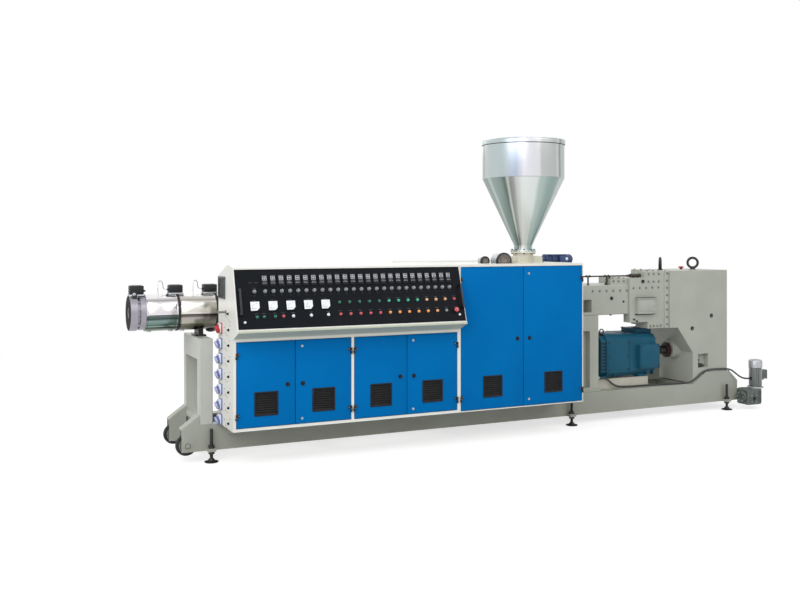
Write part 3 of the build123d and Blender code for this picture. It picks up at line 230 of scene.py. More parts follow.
# moulded instrument cases: black ABS, faint spark-erosion texture
makeFinish("blackMouldedCase", "#17181B", "#1E1F23", 20, 0.5, 0.04, 0.45, level=0.15)
# white instrument faces behind clear covers
makeFinish("whiteInstrumentFace", "#EEF0F4", "#E4E7EC", 40, 0.6, 0.02, 0.25, 1.49)
# unlit displays: pale grey glass
makeFinish("displayGlass", "#BFC2CA", "#A0A4AD", 14, 0.6, 0.02, 0.18)
# grey phenolic knobs
makeFinish("greyKnobPlastic", "#8F9294", "#7B7E81", 12, 0.5, 0.04, 0.42, 1.55)
# power sockets: blue, pale blue, white and red polyamide, slightly soft sheen
makeFinish("blueSocketPlastic", "#5F6CAC", "#4C5A9C", 30, 0.8, 0.05, 0.42, 1.53)
makeFinish("paleBlueSocketLid", "#A9AFD4", "#BEC3E2", 30, 0.8, 0.05, 0.4, 1.53)
makeFinish("whiteSocketPlastic", "#E6E9EE", "#D8DCE4", 30, 0.8, 0.05, 0.45, 1.53)
makeFinish("redSocketPlastic", "#C03334", "#A82A2B", 30, 0.8, 0.05, 0.42, 1.53)
# cream enamel of the feeder
makeFinish("creamEnamel", "#D2CFBF", "#C4C1AE", 90, 2.5, 0.15, 0.38)
# navy motor enamel, thick over the fins
makeFinish("navyMotorEnamel", "#2B4270", "#233860", 50, 2.0, 0.15, 0.38)
# teal motor enamel, semi-gloss over cast iron
makeFinish("tealMotorEnamel", "#1D5A72", "#1A5067", 200, 3.0, 0.25, 0.4, level=0.18)
# dark-red coupling paint, darkened partly for dust and partly as painted shade of the recess it turns in
makeFinish("darkRedPrimerDustAndShade", "#3C1B18", "#2A1614", 50, 2.0, 0.15, 0.55)
# blued pipe steel: warm black with a soft shine
makeFinish("bluedPipe", "#4A4542", "#35312F", 40, 1.2, 0.06, 0.35, metal=0.8)
# green-grey cast worm box: coarse skin under thin paint
makeFinish("greyGreenCasting", "#656C68", "#4E5552", 35, 2.5, 0.4, 0.48, metal=0.35)
# die-cast aluminium of the gearmotor: dull silver with a pebbled skin
makeFinish("dieCastAluminium", "#B9BCC0", "#A2A6A9", 30, 2.0, 0.25, 0.42, metal=0.6)
# ribbed hose: black polyamide, half matt
makeFinish("ribbedHose", "#2A2B2C", "#38393A", 25, 0.8, 0.05, 0.5, 1.53)
# blower grille and inlets, dusty grey-brown
makeFinish("dustyBlowerPlate", "#8A827A", "#5E5852", 14, 1.5, 0.2, 0.55)

lenses = {
    "greenLensOff": ("#0E4A38", "#136B50"),
    # the lit lamps' brighter green is a painted glow: the lens gives off no light
    "greenLens": ("#128262", "#3CB48F"),
    "redLens": ("#98202A", "#C8545C"),
    "orangeLens": ("#D96A1E", "#F2A55C"),
    "creamLens": ("#C77B3C", "#E9B581"),
}
for name, (dark, light) in lenses.items():
    # moulded acrylic cap with a fresnel pattern inside, seen as a lighter crown
    tree, shader, place = newMaterial(name, {"Roughness": 0.12, "IOR": 1.49})
    facets = addNode(tree, "TexVoronoi", {"Scale": 1000 / 3.0, "Vector": place}, "Distance")
    tree.links.new(addRamp(tree, {0.0: dark, 0.5: light}, facets), shader["Base Color"])
print("painted materials made")


def pickOnly(items):
    # selects these objects and nothing else
    for item in bpy.context.selected_objects:
        item.select_set(False)
    for item in items:
        item.select_set(True)
    bpy.context.view_layer.objects.active = items[-1]


def joined(items):
    pickOnly(items)
    bpy.ops.object.join()
    return bpy.context.object


def insetFaces(piece, test, *steps):
    # insets the faces that pass the test by one (thickness, depth) after another
    pickOnly([piece])
    bpy.ops.object.mode_set(mode="EDIT")
    bpy.ops.mesh.select_mode(type="FACE")
    bpy.ops.mesh.select_all(action="DESELECT")
    bpy.ops.object.mode_set(mode="OBJECT")
    for polygon in piece.data.polygons:
        polygon.select = test(polygon.center, polygon.normal)
    bpy.ops.object.mode_set(mode="EDIT")
    for thickness, depth in steps:
        bpy.ops.mesh.inset(thickness=thickness, depth=depth)
    bpy.ops.object.mode_set(mode="OBJECT")


def addBlock(low, high, bevel=0.0, steps=2):
    # a block between two opposite corners, in any order, with rounded edges
    bpy.ops.mesh.primitive_cube_add(size=1, location=[(a + b) / 2 for a, b in zip(low, high)])
    piece = bpy.context.object
    piece.scale = [abs(b - a) for a, b in zip(low, high)]
    bpy.ops.object.transform_apply(location=True, rotation=True, scale=True)
    if bevel:
        bpy.ops.object.mode_set(mode="EDIT")
        bpy.ops.mesh.bevel(offset=bevel, segments=steps, affect="EDGES")
        bpy.ops.object.mode_set(mode="OBJECT")
    return piece


def addPlate(wide, tall, low, high, bevel, steps=2):
    # a block about the vertical through the origin
    return addBlock((-wide / 2, -tall / 2, low), (wide / 2, tall / 2, high), bevel, steps)


def turnToward(way):
    # the turn that takes +Z to a direction
    if tuple(way) == up:
        return Matrix.Identity(4)
    return Vector(way).to_track_quat("Z", "Y").to_matrix().to_4x4()


def turnRound(outline, centre=(0, 0, 0), along=up, steps=32, closed=False):
    # (radius, height) points spun about an axis through centre
    mesh = bpy.data.meshes.new("outline")
    edges = [(i, i + 1) for i in range(len(outline) - 1)]
    if closed:
        edges.append((len(outline) - 1, 0))
    mesh.from_pydata([(r, 0, h) for r, h in outline], edges, [])
    piece = bpy.data.objects.new("turned", mesh)
    bpy.context.collection.objects.link(piece)
    pickOnly([piece])
    bpy.ops.object.mode_set(mode="EDIT")
    bpy.ops.mesh.select_all(action="SELECT")
    bpy.ops.mesh.spin(steps=steps, angle=2 * pi, center=(0, 0, 0), axis=(0, 0, 1))
    bpy.ops.mesh.select_all(action="SELECT")
    bpy.ops.mesh.remove_doubles(threshold=0.01)
    bpy.ops.mesh.normals_make_consistent(inside=False)
    bpy.ops.object.mode_set(mode="OBJECT")
    mesh.transform(Matrix.Translation(centre) @ turnToward(along))
    return piece


def addRod(radius, depth, place, turn=(0, 0, 0), sides=6):
    # a plain cylinder or prism about its middle
    bpy.ops.mesh.primitive_cylinder_add(vertices=sides, radius=radius, depth=depth, location=place)
    bpy.context.object.rotation_euler = turn
    bpy.ops.object.transform_apply(location=True, rotation=True)
    return bpy.context.object


def shift(piece, place, angle=0.0, axis="Z"):
    # turns the piece about one of the frame's axes, then moves it
    piece.data.transform(Matrix.Translation(place) @ Matrix.Rotation(angle, 4, axis))
    return piece


def placeCopies(piece, spots, facing=up):
    # a copy with its own mesh at each spot, its +Z turned to the facing; the model goes
    copies = []
    for spot in spots:
        twin = piece.copy()
        twin.data = piece.data.copy()
        twin.data.transform(Matrix.Translation(spot) @ turnToward(facing))
        bpy.context.collection.objects.link(twin)
        copies.append(twin)
    bpy.data.objects.remove(piece)
    return copies


def circle(count, radius, start=0.0):
    # (across, up) offsets of points round a circle
    angles = [start + 2 * pi * i / count for i in range(count)]
    return [(radius * cos(angle), radius * sin(angle)) for angle in angles]


def makeLine(points, resolution):
    # a smooth curve from the first point to the last
    curve = bpy.data.curves.new("line", "CURVE")
    curve.dimensions = "3D"
    spline = curve.splines.new("NURBS")
    spline.points.add(len(points) - 1)
    for point, place in zip(spline.points, points):
        point.co = (*place, 1.0)
    spline.order_u = 3
    spline.use_endpoint_u = True
    curve.resolution_u = resolution
    line = bpy.data.objects.new("line", curve)
    bpy.context.collection.objects.link(line)
    return line


def bendTube(points, radius):
    # a rigid tube along smooth points, closed at both ends
    tube = makeLine(points, 6)
    tube.data.bevel_depth = radius
    tube.data.bevel_resolution = 2
    tube.data.use_fill_caps = True
    pickOnly([tube])
    bpy.ops.object.convert(target="MESH")
    return bpy.context.object


def row(first, pitch, count):
    return [first + pitch * i for i in range(count)]


def cutAway(piece, tools):
    # takes the tools out of the piece
    for tool in tools:
        pickOnly([piece])
        cutter = piece.modifiers.new("cut", "BOOLEAN")
        cutter.object = tool
        cutter.operation = "DIFFERENCE"
        cutter.solver = "EXACT"
        bpy.ops.object.modifier_apply(modifier=cutter.name)
        bpy.data.objects.remove(tool)
    return piece


def finish(items, name, material, body="machine", smooth=35, replaces=""):
    # joins the items into one piece in metres, with its finish, body and material slot
    pickOnly(items)
    if len(items) > 1:
        bpy.ops.object.join()
    piece = bpy.context.object
    bpy.ops.object.transform_apply(location=True, rotation=True, scale=True)
    piece.data.transform(Matrix.Scale(0.001, 4))
    piece.name = piece.data.name = name
    piece.data.materials.clear()
    piece.data.materials.append(bpy.data.materials[material])
    bpy.ops.object.shade_smooth_by_angle(angle=radians(smooth))
    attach(piece, body)
    if replaces:
        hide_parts(replaces)
    return piece


def addHexBolt(radius, head, washer=True):
    # hexagon head with a chamfered crown, standing on z 0
    piece = addRod(radius, head, (0, 0, head / 2))
    insetFaces(piece, lambda c, n: n.z > 0.9, (radius * 0.16, radius * 0.1))
    if washer:
        rim, thick = radius * 1.35, head * 0.2
        return joined([turnRound([(0, 0), (rim, 0), (rim, thick), (0, thick)], steps=12), piece])
    return piece


def addCapScrew(radius, head):
    # socket head: round, with a hexagon recess
    outline = [(0, 0), (radius, 0), (radius, head * 0.85), (radius * 0.85, head), (0, head)]
    return cutAway(turnRound(outline, steps=12), [addRod(radius * 0.5, head, (0, 0, head))])


def addSlotScrew(radius, head):
    # low domed screw
    outline = [(0, 0), (radius, 0), (radius * 0.85, head * 0.7), (radius * 0.45, head), (0, head)]
    return turnRound(outline, steps=12)


axisY, barrelZ, frontY, cabinetRoof = 67.5, 1170.0, -612.5, 1530.0

# plates and castings keep their CAD shape: edges are welded and rounded live
kept = {
    "base_rail_near": ("enamelledPlate", 3.0),
    "base_rail_far": ("enamelledPlate", 3.0),
    "base_cross_beams": ("enamelledPlate", 2.0),
    "front_trestle": ("enamelledPlatePaintedLight", 4.0),
    "cabinet_brackets": ("enamelledPlate", 1.0),
    "motor_rails": ("paleRailEnamel", 2.0),
    "control_cabinet": ("ivoryPowderCoat", 1.5),
    "console_housing": ("ivoryConsoleCoat", 3.0),
    "barrel_cabinet": ("ivoryPowderCoat", 1.5),
    "console_panel": ("charcoalPanel", 1.5),
    "connecting_housing": ("enamelledCastingPaintedLight", 3.0),
    "support_column": ("enamelledCastingPaintedLight", 3.0),
    "distribution_gearbox": ("enamelledCastingPaintedLight", 4.0),
    "inspection_cover": ("enamelledCastingPaintedLight", 2.0),
    "reduction_gearbox": ("enamelledCastingPaintedLight", 5.0),
    "hopper_feeder": ("creamEnamel", 3.0),
    "barrel_support": ("blackenedSteel", 2.0),
    "main_motor": ("tealMotorEnamel", 5.0),
    "gearmotor_reducer": ("greyGreenCasting", 3.0),
}
for name, (material, edge) in kept.items():
    node = nodes[name]
    node.data.materials.clear()
    node.data.materials.append(bpy.data.materials[material])
    node.modifiers.new("weld", "WELD").merge_threshold = 0.00002
    rounding = node.modifiers.new("rounding", "BEVEL")
    rounding.width = edge / 1000
    rounding.segments = 2
    rounding.limit_method = "ANGLE"
    rounding.angle_limit = radians(40)
    rounding.use_clamp_overlap = True
print("castings and plates dressed")

feet = {
    "x": (-2639.0, 795.0, 2731.0),
    "y": (-256.5, 391.5),
    "plate": 55.0,
    "stud": 13.6,
    "top": 262.0,
    "pitch": 5.0,  # coarser than the real thread, so that it shows
    "nuts": (65.0, 110.0),
    "nut": (26.0, 20.0),
}
plate, stud, top, pitch = (feet[key] for key in ("plate", "stud", "top", "pitch"))
outline = [(0, 0), (plate - 3, 0), (plate, 3), (plate, 8), (30, 14), (21, 27), (18, 31), (stud, 31)]
height = 33.0
while height < top - pitch:
    outline += [(stud, height), (stud - 1.6, height + pitch / 2)]
    height += pitch
foot = [turnRound(outline + [(stud - 2, top), (0, top)], steps=20)]
foot += [shift(addHexBolt(*feet["nut"], washer=False), (0, 0, start)) for start in feet["nuts"]]
footSpots = [(x, y, 0) for x in feet["x"] for y in feet["y"]]
finish(
    placeCopies(joined(foot), footSpots), "levelling_feet_turned", "blackenedSteel",
    replaces="levelling_feet",
)

wheels = {
    "x": -2819.0,
    "z": 136.0,
    "y": {"near": -172.5, "far": 307.5},
    "radius": 84.8,
    "width": 48.0,
    "rim": 62.0,
    "hub": (30.0, 37.5),
    "bore": 12.1,
    "holes": 5,
    "axleY": ((-230.5, front), (365.5, back)),
}


def makeWheel(side):
    x, y, z = wheels["x"], wheels["y"][side], wheels["z"]
    half, outer, rim, bore = wheels["width"] / 2, wheels["radius"], wheels["rim"], wheels["bore"]
    hub, end = wheels["hub"]
    body = f"transport_wheel_{side}"
    tread = [(rim, 2 - half), (outer - 9, -half), (outer - 2, 6 - half), (outer, 13 - half)]
    tread += [(outer, half - 13), (outer - 2, half - 6), (outer - 9, half), (rim, half - 2)]
    tyre = turnRound(tread, (x, y, z), back, 48, closed=True)
    finish([tyre], f"{body}_tyre", "tyreRubber", body, replaces=body)
    web = [(bore, end), (hub - 3, end), (hub, end - 3), (hub + 3, 9), (rim - 12, 8), (rim - 6, half - 4)]
    web.append((rim + 0.5, half - 4))
    profile = [(r, -h) for r, h in web] + web[::-1]
    disc = turnRound(profile, (x, y, z), back, 40, closed=True)
    turn = (pi / 2, 0, 0)
    holes = [addRod(7, 40, (x + a, y, z + b), turn, 16) for a, b in circle(wheels["holes"], 42)]
    finish([cutAway(disc, holes)], f"{body}_disc", "wheelEnamel", body)


for side in wheels["y"]:
    makeWheel(side)

# axle ends outside the rails, with a grease nipple and a dark ring each
caps, rings = [], []
for y, out in wheels["axleY"]:
    spot = (wheels["x"], y, wheels["z"])
    caps.append(turnRound([(0, 0), (17, 0), (17, 1.2), (8, 2.6), (4, 2.6), (3, 6), (0, 6.5)], spot, out, 20))
    rings.append(turnRound([(17, -0.2), (21, -0.2), (21, 1.0), (17, 1.0)], spot, out, 20, closed=True))
finish(caps, "axle_ends", "enamelledPlate")
finish(rings, "axle_rings", "blackenedSteel")
print("feet and wheels made")

doors = {
    "leaf": 20.0,
    "gap": 5.0,
    "lowZ": {968.0: 317.0, 1517.0: 303.0},
    "hingeZ": {968.0: (400.0, 865.0), 1517.0: (400.0, 1400.0)},
    "ventZ": 492.0,
    "vent": (190.0, 185.0),
    "border": 12.0,
    "slats": 9,
    "slatAngle": 40.0,
    "latchInset": 62.0,
    "lockInset": 55.0,
    # name: hinged edge, free edge, top, latch height, lock heights
    "leaves": {
        "control_door_1": (-2538.0, -2065.75, 968.0, 630.0, ()),
        "control_door_2": (-1593.5, -2065.75, 968.0, 630.0, (356.0, 922.0)),
        "control_door_3": (-1571.5, -1099.25, 968.0, 630.0, ()),
        "control_door_4": (-627.0, -1099.25, 968.0, 630.0, (356.0, 922.0)),
        "barrel_door_1": (-597.0, 30.0, 1517.0, 892.0, ()),
        "barrel_door_2": (657.0, 30.0, 1517.0, 892.0, (356.0, 1457.0)),
    },
}
sleeves = []


def makeDoor(name, edge, seam, top, latchZ, locks):
    d = doors
    way = 1 if seam > edge else -1
    x0, x1 = sorted((edge + way * d["gap"], seam - way * d["gap"] / 2))
    wide, tall = d["vent"][0] / 2, d["vent"][1] / 2
    across, high = wide - d["border"], tall - d["border"]
    middle = ((x0 + x1) / 2, d["ventZ"])

    def addVentBlock(low, top, near, far, bevel=0.0):
        # a block by its offsets from the middle of the vent and from the door's face
        corners = [(middle[0] + x, frontY + y, middle[1] + z) for (x, z), y in ((low, near), (top, far))]
        return addBlock(*corners, bevel)

    # folded tray: front skin, returns, and a pressed stiffening field behind
    leaf = addBlock((x0, frontY, d["lowZ"][top]), (x1, frontY + d["leaf"], top), 1.6, 3)
    insetFaces(leaf, lambda c, n: n.y > 0.9, (16, 0), (3, -13))
    cutAway(leaf, [addVentBlock((-across, -high), (across, high), -10, 40)])
    finish([leaf], f"{name}_leaf", "bluePowderCoat", name, 25, name)
    # louvre: frame with angled slats in front of the opening
    sides = (
        ((-wide, high), (wide, tall)), ((-wide, -tall), (wide, -high)),
        ((-wide, -high), (-across, high)), ((across, -high), (wide, high)),
    )
    black = [addVentBlock(low, far, -5.8, 1.0, 0.8) for low, far in sides]
    pitch = 2 * high / d["slats"]
    for z in row(middle[1] - high + pitch / 2, pitch, d["slats"]):
        slat = addBlock(
            (middle[0] - across, -1.2, -pitch * 0.62), (middle[0] + across, 1.2, pitch * 0.62), 0.6
        )
        black.append(shift(slat, (0, frontY + 3.6, z), radians(-d["slatAngle"]), "X"))
    # dust mesh behind the slats
    black.append(addVentBlock((-across - 6, -high - 6), (across + 6, high + 6), 13, 15, 0.5))
    finish(black, f"{name}_louvre", "louvreBlack", name, 40)
    # quarter-turn latch: round escutcheon, dished, with a short wing grip
    x = seam - way * d["latchInset"]
    dish = [(0, 0), (17.5, 0), (17.5, 3), (16, 5.4), (13.5, 6), (11.5, 4.4), (8.5, 4.4), (8, 12), (6.6, 13.4)]
    black = [
        turnRound(dish + [(0, 13.4)], (x, frontY, latchZ), front, 24),
        addBlock((x - 3.2, frontY - 14.8, latchZ - 14), (x + 3.2, frontY - 5, latchZ + 14), 1.8),
    ]
    # the leaf's half of the hinges
    pivot = edge + way * d["gap"] / 2
    knuckle = [(3.06, 0.3), (6.2, 0.3), (7, 1.1), (7, 23.6), (6.2, 24.9), (3.06, 24.9)]
    for z in d["hingeZ"][top]:
        flap = ((pivot + way * 6, frontY - 4, z + 0.6), (pivot + way * 25.5, frontY + 0.5, z + 24.8))
        black += [turnRound(knuckle, (pivot, frontY - 7, z), up, 20, closed=True), addBlock(*flap, 0.8)]
    finish(black, f"{name}_fittings", "blackPowderCoat", name, 40)
    screwSpots = [(pivot + way * 18, frontY - 4, z + 12.5) for z in d["hingeZ"][top]]
    bright = placeCopies(addSlotScrew(3.2, 1.2), screwSpots, front)
    lock = [(0, 0), (11, 0), (11, 3.2), (9.6, 5), (7.4, 5), (7, 4.2), (3, 4.2), (2.6, 5.8), (0, 5.8)]
    bright += [turnRound(lock, (seam - way * d["lockInset"], frontY, z), front, 24) for z in locks]
    finish(bright, f"{name}_bright_parts", "zincPlate", name, 40)
    # black sleeves over the cabinet's half of the hinges
    sleeve = [(3.02, -25.2), (6.4, -25.2), (7.6, -24.2), (7.6, -1.2), (6.6, -0.3), (3.02, -0.3)]
    for z in d["hingeZ"][top]:
        flap = ((pivot - way * 5, frontY - 4.6, z - 25.2), (pivot - way * 9, frontY + 0.4, z - 0.3))
        sleeves.extend((turnRound(sleeve, (pivot, frontY - 7, z), up, 20, closed=True), addBlock(*flap, 0.8)))


for name, measures in doors["leaves"].items():
    makeDoor(name, *measures)
finish(sleeves, "frame_hinge_sleeves", "blackPowderCoat")
print("doors made")

slope = {
    "origin": (-2560.0, -735.5, 1070.0),
    "up": (0.0, 0.29628, 0.95512),
    "out": (0.0, -0.95512, 0.29628),
    "skin": 5.0,
    "length": 1955.0,
}
axes = zip(right, slope["up"], slope["out"])
onFace = Vector(slope["origin"]) + Vector(slope["out"]) * slope["skin"]
ontoSlope = Matrix.Translation(onFace) @ Matrix([[*axis, 0] for axis in axes] + [[0, 0, 0, 1]])


def setOnPanel(models, name, material, replaces=""):
    # models are laid out flat (along, up the slope, proud); each goes to its places on the face
    items = []
    for piece, places in models:
        items += placeCopies(piece, [(x, v, 0) for x, v in places])
    for item in items:
        item.data.transform(ontoSlope)
    finish(items, name, material, replaces=replaces)


console = {
    # first place, pitch and number along the panel
    "controllers": (238.0, 66.4167, 25),
    "meters": (145.0, 142.5, 5),
    "columns": (834.0, 85.5, 13),
    "masterSwitch": 153.0,
    "left": {"green": (157, 212, 300), "red": (365,), "white": (445, 590, 732)},
    # heights up the slope
    "controllerRow": 384.0,
    "displayRow": 401.0,
    "keyRow": 362.0,
    "switchRow": 299.0,
    "fuseRow": 264.0,
    "lampRow": 196.0,
    "meterRow": 183.0,
    "buttonRow": 100.0,
    "meter": (73.0, 14.0),
}
controllerX, meterX, columnX = (row(*console[key]) for key in ("controllers", "meters", "columns"))
master, leftX = console["masterSwitch"], console["left"]


def atRow(spots, name, lift=0.0):
    # places along one of the console's rows
    return [(x, console[name + "Row"] + lift) for x in spots]


# controller cases: black bezels with a recessed window and a lower key field
case = addPlate(48, 92, -1, 10, 1.6)
insetFaces(case, lambda p, n: n.z > 0.95 and abs(p.x) < 2, (3.2, 0), (0.8, -2.2))
case = (case, atRow(controllerX, "controller"))
setOnPanel([case], "controller_cases", "blackMouldedCase", "console_meters")
glass = (addPlate(34, 36, 7.4, 9.0, 0.6), atRow(controllerX, "display"))
setOnPanel([glass], "controller_displays", "displayGlass")
# two rows of blank digit bars, darker than the glass
digit = addPlate(10, 11, 8.9, 9.3, 0.3)
insetFaces(digit, lambda p, n: n.z > 0.95, (2.2, -0.3))
digits = [(x + dx, v + dv) for x, v in atRow(controllerX, "display") for dx in (-7, 7) for dv in (9, -8)]
setOnPanel([(digit, digits)], "controller_digits", "blackMouldedCase")
keys = [
    (addPlate(9, 6, 7.4, 9.6, 0.9), atRow([x + dx for x in controllerX for dx in (-13, 0, 13)], "key")),
    (addPlate(30, 2.4, 7.4, 8.6, 0.4), atRow(controllerX, "key", 10)),
]
setOnPanel(keys, "controller_keys", "greyKnobPlastic")

# rotary switches: knurled skirt, round knob and a raised pointer, with fuse holders under them
knob = [(0, -1), (15, -1), (15, 3), (13.6, 4.4), (11.4, 4.6), (10.8, 17), (9.4, 19), (0, 19)]
knob = joined([turnRound(knob, steps=24), addBlock((-2.4, -10.6, 16), (2.4, 13.2, 20), 1.0)])
switchX = [master] + controllerX
knob = (knob, atRow(switchX, "switch"))
setOnPanel([knob], "rotary_knobs", "greyKnobPlastic", "console_switches")
holder = turnRound([(0, -1), (11, -1), (11, 2), (8.5, 3), (8, 9), (6.5, 10.5), (0, 10.5)], steps=20)
setOnPanel([(holder, atRow(switchX, "fuse"))], "fuse_holders", "blackMouldedCase")

# panel meters: black bezel, white face whose lower right corner houses the pivot
size, depth = console["meter"]
half = size / 2
meterPlaces = atRow(meterX, "meter")
bezel = addPlate(size, size, -1, depth - 4, 1.8)
setOnPanel([(bezel, meterPlaces)], "meter_bezels", "blackMouldedCase")
face = addPlate(size - 3, size - 3, depth - 4.5, depth, 1.0)
corner = shift(addBlock((-30, -22, -30), (30, 6, 30)), (half - 13, 2 - half, depth), radians(45))
cutAway(face, [corner])
setOnPanel([(face, meterPlaces)], "meter_faces", "whiteInstrumentFace")
pivot = (half - 16, 16 - half, 0)
marks = []
for i in range(11):
    # plain scale ticks on a quarter circle about the pivot
    tick = addBlock((40, -0.5, depth - 0.4), (46 if i % 5 else 49, 0.5, depth + 0.25))
    marks.append(shift(tick, pivot, radians(92 + 8.6 * i)))
needle = addBlock((8, -0.6, depth - 0.2), (43, 0.6, depth + 0.35))
marks = joined(marks + [shift(needle, pivot, radians(176))])
setOnPanel([(marks, meterPlaces)], "meter_scales", "blackMouldedCase")

*_, greyKnob, stop = columnX
lensRows = {
    "lamps_green_off": ("greenLensOff", atRow(columnX[:5], "lamp") + atRow(leftX["green"], "button")),
    # lit green lamps: painted glow
    "lamps_green": ("greenLens", atRow(columnX[5:9], "lamp")),
    "lamps_cream": ("creamLens", atRow(columnX[9:12], "lamp")),
    "buttons_red": ("redLens", atRow([stop], "lamp") + atRow([*columnX[:5], *leftX["red"]], "button")),
    "buttons_orange": ("orangeLens", atRow(columnX[5:11], "button")),
}
collarPlaces = []
for name, (material, places) in lensRows.items():
    cap = [(0, 2), (12.4, 2), (12.4, 8.525), (10.664, 13.175), (6.2, 15.5), (0, 15.5)]
    setOnPanel([(turnRound(cap, steps=20), places)], name, material)
    collarPlaces += places
head = turnRound([(0, 2), (11, 2), (11, 17), (20.5, 19), (21, 22), (19, 28), (12, 29.8), (0, 29.8)], steps=28)
setOnPanel([(head, atRow([stop], "button"))], "stop_button", "redLens")
knob = turnRound([(0, 2), (11, 2), (11, 5), (9, 6), (8.4, 14), (7, 15.6), (0, 15.6)], steps=20)
knob = joined([knob, addPlate(4, 23, 12, 16, 0.8)])
whiteKnobs = atRow(leftX["white"], "button")
setOnPanel([(knob, whiteKnobs)], "selector_knobs", "whiteInstrumentFace")
knob = turnRound([(0, 2), (12, 2), (12, 10), (10, 12), (9.4, 15), (0, 15.6)], steps=20)
setOnPanel([(knob, atRow([greyKnob], "button"))], "grey_knob", "greyKnobPlastic")
# chrome collars round every lamp and button
collar = turnRound([(0, -1), (13.0, -1), (13.0, 2.4), (12.6, 3.2), (0, 3.2)], steps=20)
collarPlaces += whiteKnobs + atRow([greyKnob, stop], "button")
setOnPanel([(collar, collarPlaces)], "lamp_collars", "zincPlate")
# blank label strips over lamps, buttons, meters and switches
labels = atRow(columnX, "button", 27) + atRow(columnX[5:], "lamp", 24) + atRow(meterX, "meter", 47)
labels += atRow([x for group in leftX.values() for x in group], "button", 26)
labels += atRow([master], "switch", 27) + atRow([master - 26, master + 20], "switch", 70)
strip = addPlate(28, 2.8, -0.5, 0.6, 0.3)
setOnPanel([(strip, labels)], "label_strips", "anthraciteLouvre")
lock = [(0, -1), (10, -1), (10, 4), (8.6, 6), (6, 6), (5.6, 5), (2.4, 5), (2, 7.6), (0, 7.6)]
lock = (turnRound(lock, steps=24), [(61, 62), (1894, 62)])
setOnPanel([lock], "panel_locks", "whiteInstrumentFace")

# handle bars: bent flat bars with round ends, standing off on two feet
handle = {"inset": 32.0, "low": 112.0, "high": 318.0, "standoff": 42.0, "half": 8.0, "bar": 10.0}
low, high, off, w, bar = (handle[key] for key in ("low", "high", "standoff", "half", "bar"))
bars = []
for x in (handle["inset"], slope["length"] - handle["inset"]):
    bars.append(addBlock((x - w, low, off - bar), (x + w, high, off), 3.2, 3))
    for v in (low, high - 2 * bar):
        bars.append(addBlock((x - w, v, -0.5), (x + w, v + 2 * bar, off - bar + 1), 2.0))
    for v in (low + bar, high - bar):
        screw = [(0, 0), (4.2, 0), (3.8, 1.4), (2, 1.6), (0, 1.0)]
        bars.append(turnRound(screw, (x, v, off - 1.2), steps=16))
bars = [(piece, [(0, 0)]) for piece in bars]
setOnPanel(bars, "console_handle_bars", "blackAnodised", "console_handles")
# face plate screws round the edge
screwPlaces = [(x, v) for x in row(20, (slope["length"] - 40) / 10, 11) for v in (17, 465)]
setOnPanel([(addSlotScrew(4, 1.6), screwPlaces)], "face_plate_screws", "blackMouldedCase")
print("console made")

sideVent = {
    "x": (-2568.0, -2559.0),
    "y": (-379.5, -174.5),
    "z": (1288.0, 1462.0),
    "border": 12.0,
    "slats": 12,
}
(outer, inner), (y0, y1), (z0, z1), border = (sideVent[key] for key in ("x", "y", "z", "border"))
bars = [
    addBlock((outer, y0, z0), (inner, y1, z0 + border), 1.0),
    addBlock((outer, y0, z1 - border), (inner, y1, z1), 1.0),
    addBlock((outer, y0, z0 + border), (inner, y0 + border, z1 - border), 1.0),
    addBlock((outer, y1 - border, z0 + border), (inner, y1, z1 - border), 1.0),
]
pitch = (z1 - z0 - 2 * border) / sideVent["slats"]
for z in row(z0 + border + pitch / 2, pitch, sideVent["slats"]):
    slat = addBlock((-0.8, y0 + border, -pitch * 0.5), (0.8, y1 - border, pitch * 0.5), 0.4)
    bars.append(shift(slat, (outer + 4, 0, z), radians(-38), "Y"))
finish(bars, "side_louvre", "anthraciteLouvre", replaces="side_vent")
# black plate behind the slats: painted shade of the dark inside the vent
mesh = addBlock((-2561.2, y0 + 10, z0 + 10), (-2560.0, y1 - 10, z1 - 10), 0.3)
finish([mesh], "side_louvre_painted_shade", "blackPowderCoat")

sockets = {
    "x": -2560.0,
    "y": -254.5,
    "levels": row(1055.0, -120.0, 7),
    "facing": (-0.93, 0, -0.37),
    "grips": 12,
}


def makeSocket(z):
    # panel socket: flange on the wall, shroud, tilted collar and a hinged lid over it
    x, y = sockets["x"], sockets["y"]
    flange = addBlock((x - 7, y - 36, z - 47), (x + 1, y + 36, z + 40), 3)
    shroud = addBlock((x - 27, y - 31, z - 40), (x - 5, y + 31, z + 36), 6, 3)
    for vertex in shroud.data.vertices:
        # the shroud's face leans back towards its foot
        if vertex.co.x < x - 16:
            vertex.co.x += 0.16 * (z + 36 - vertex.co.z)
    seat, facing = (x - 20, y, z - 6), sockets["facing"]
    rim = [(0, 0), (29, 0), (30, 2), (30, 9), (31.5, 10), (31.5, 15), (29, 17), (27, 17), (27, 7), (0, 7)]
    collar = turnRound(rim, seat, facing, 28)
    cover = [(0, 16), (30, 16), (31, 18), (31, 23), (28, 26.5), (12, 28), (0, 28)]
    lid = [turnRound(cover, seat, facing, 28)]
    lid.append(addBlock((x - 36, y - 14, z + 22), (x - 22, y + 14, z + 33), 2.5))
    for k in range(sockets["grips"]):
        grip = addBlock((29.5, -2, 18), (32.4, 2, 24), 0.7)
        grip.data.transform(Matrix.Rotation(2 * pi * k / sockets["grips"], 4, "Z"))
        grip.data.transform(Matrix.Translation(seat) @ turnToward(facing))
        lid.append(grip)
    return flange, shroud, collar, lid


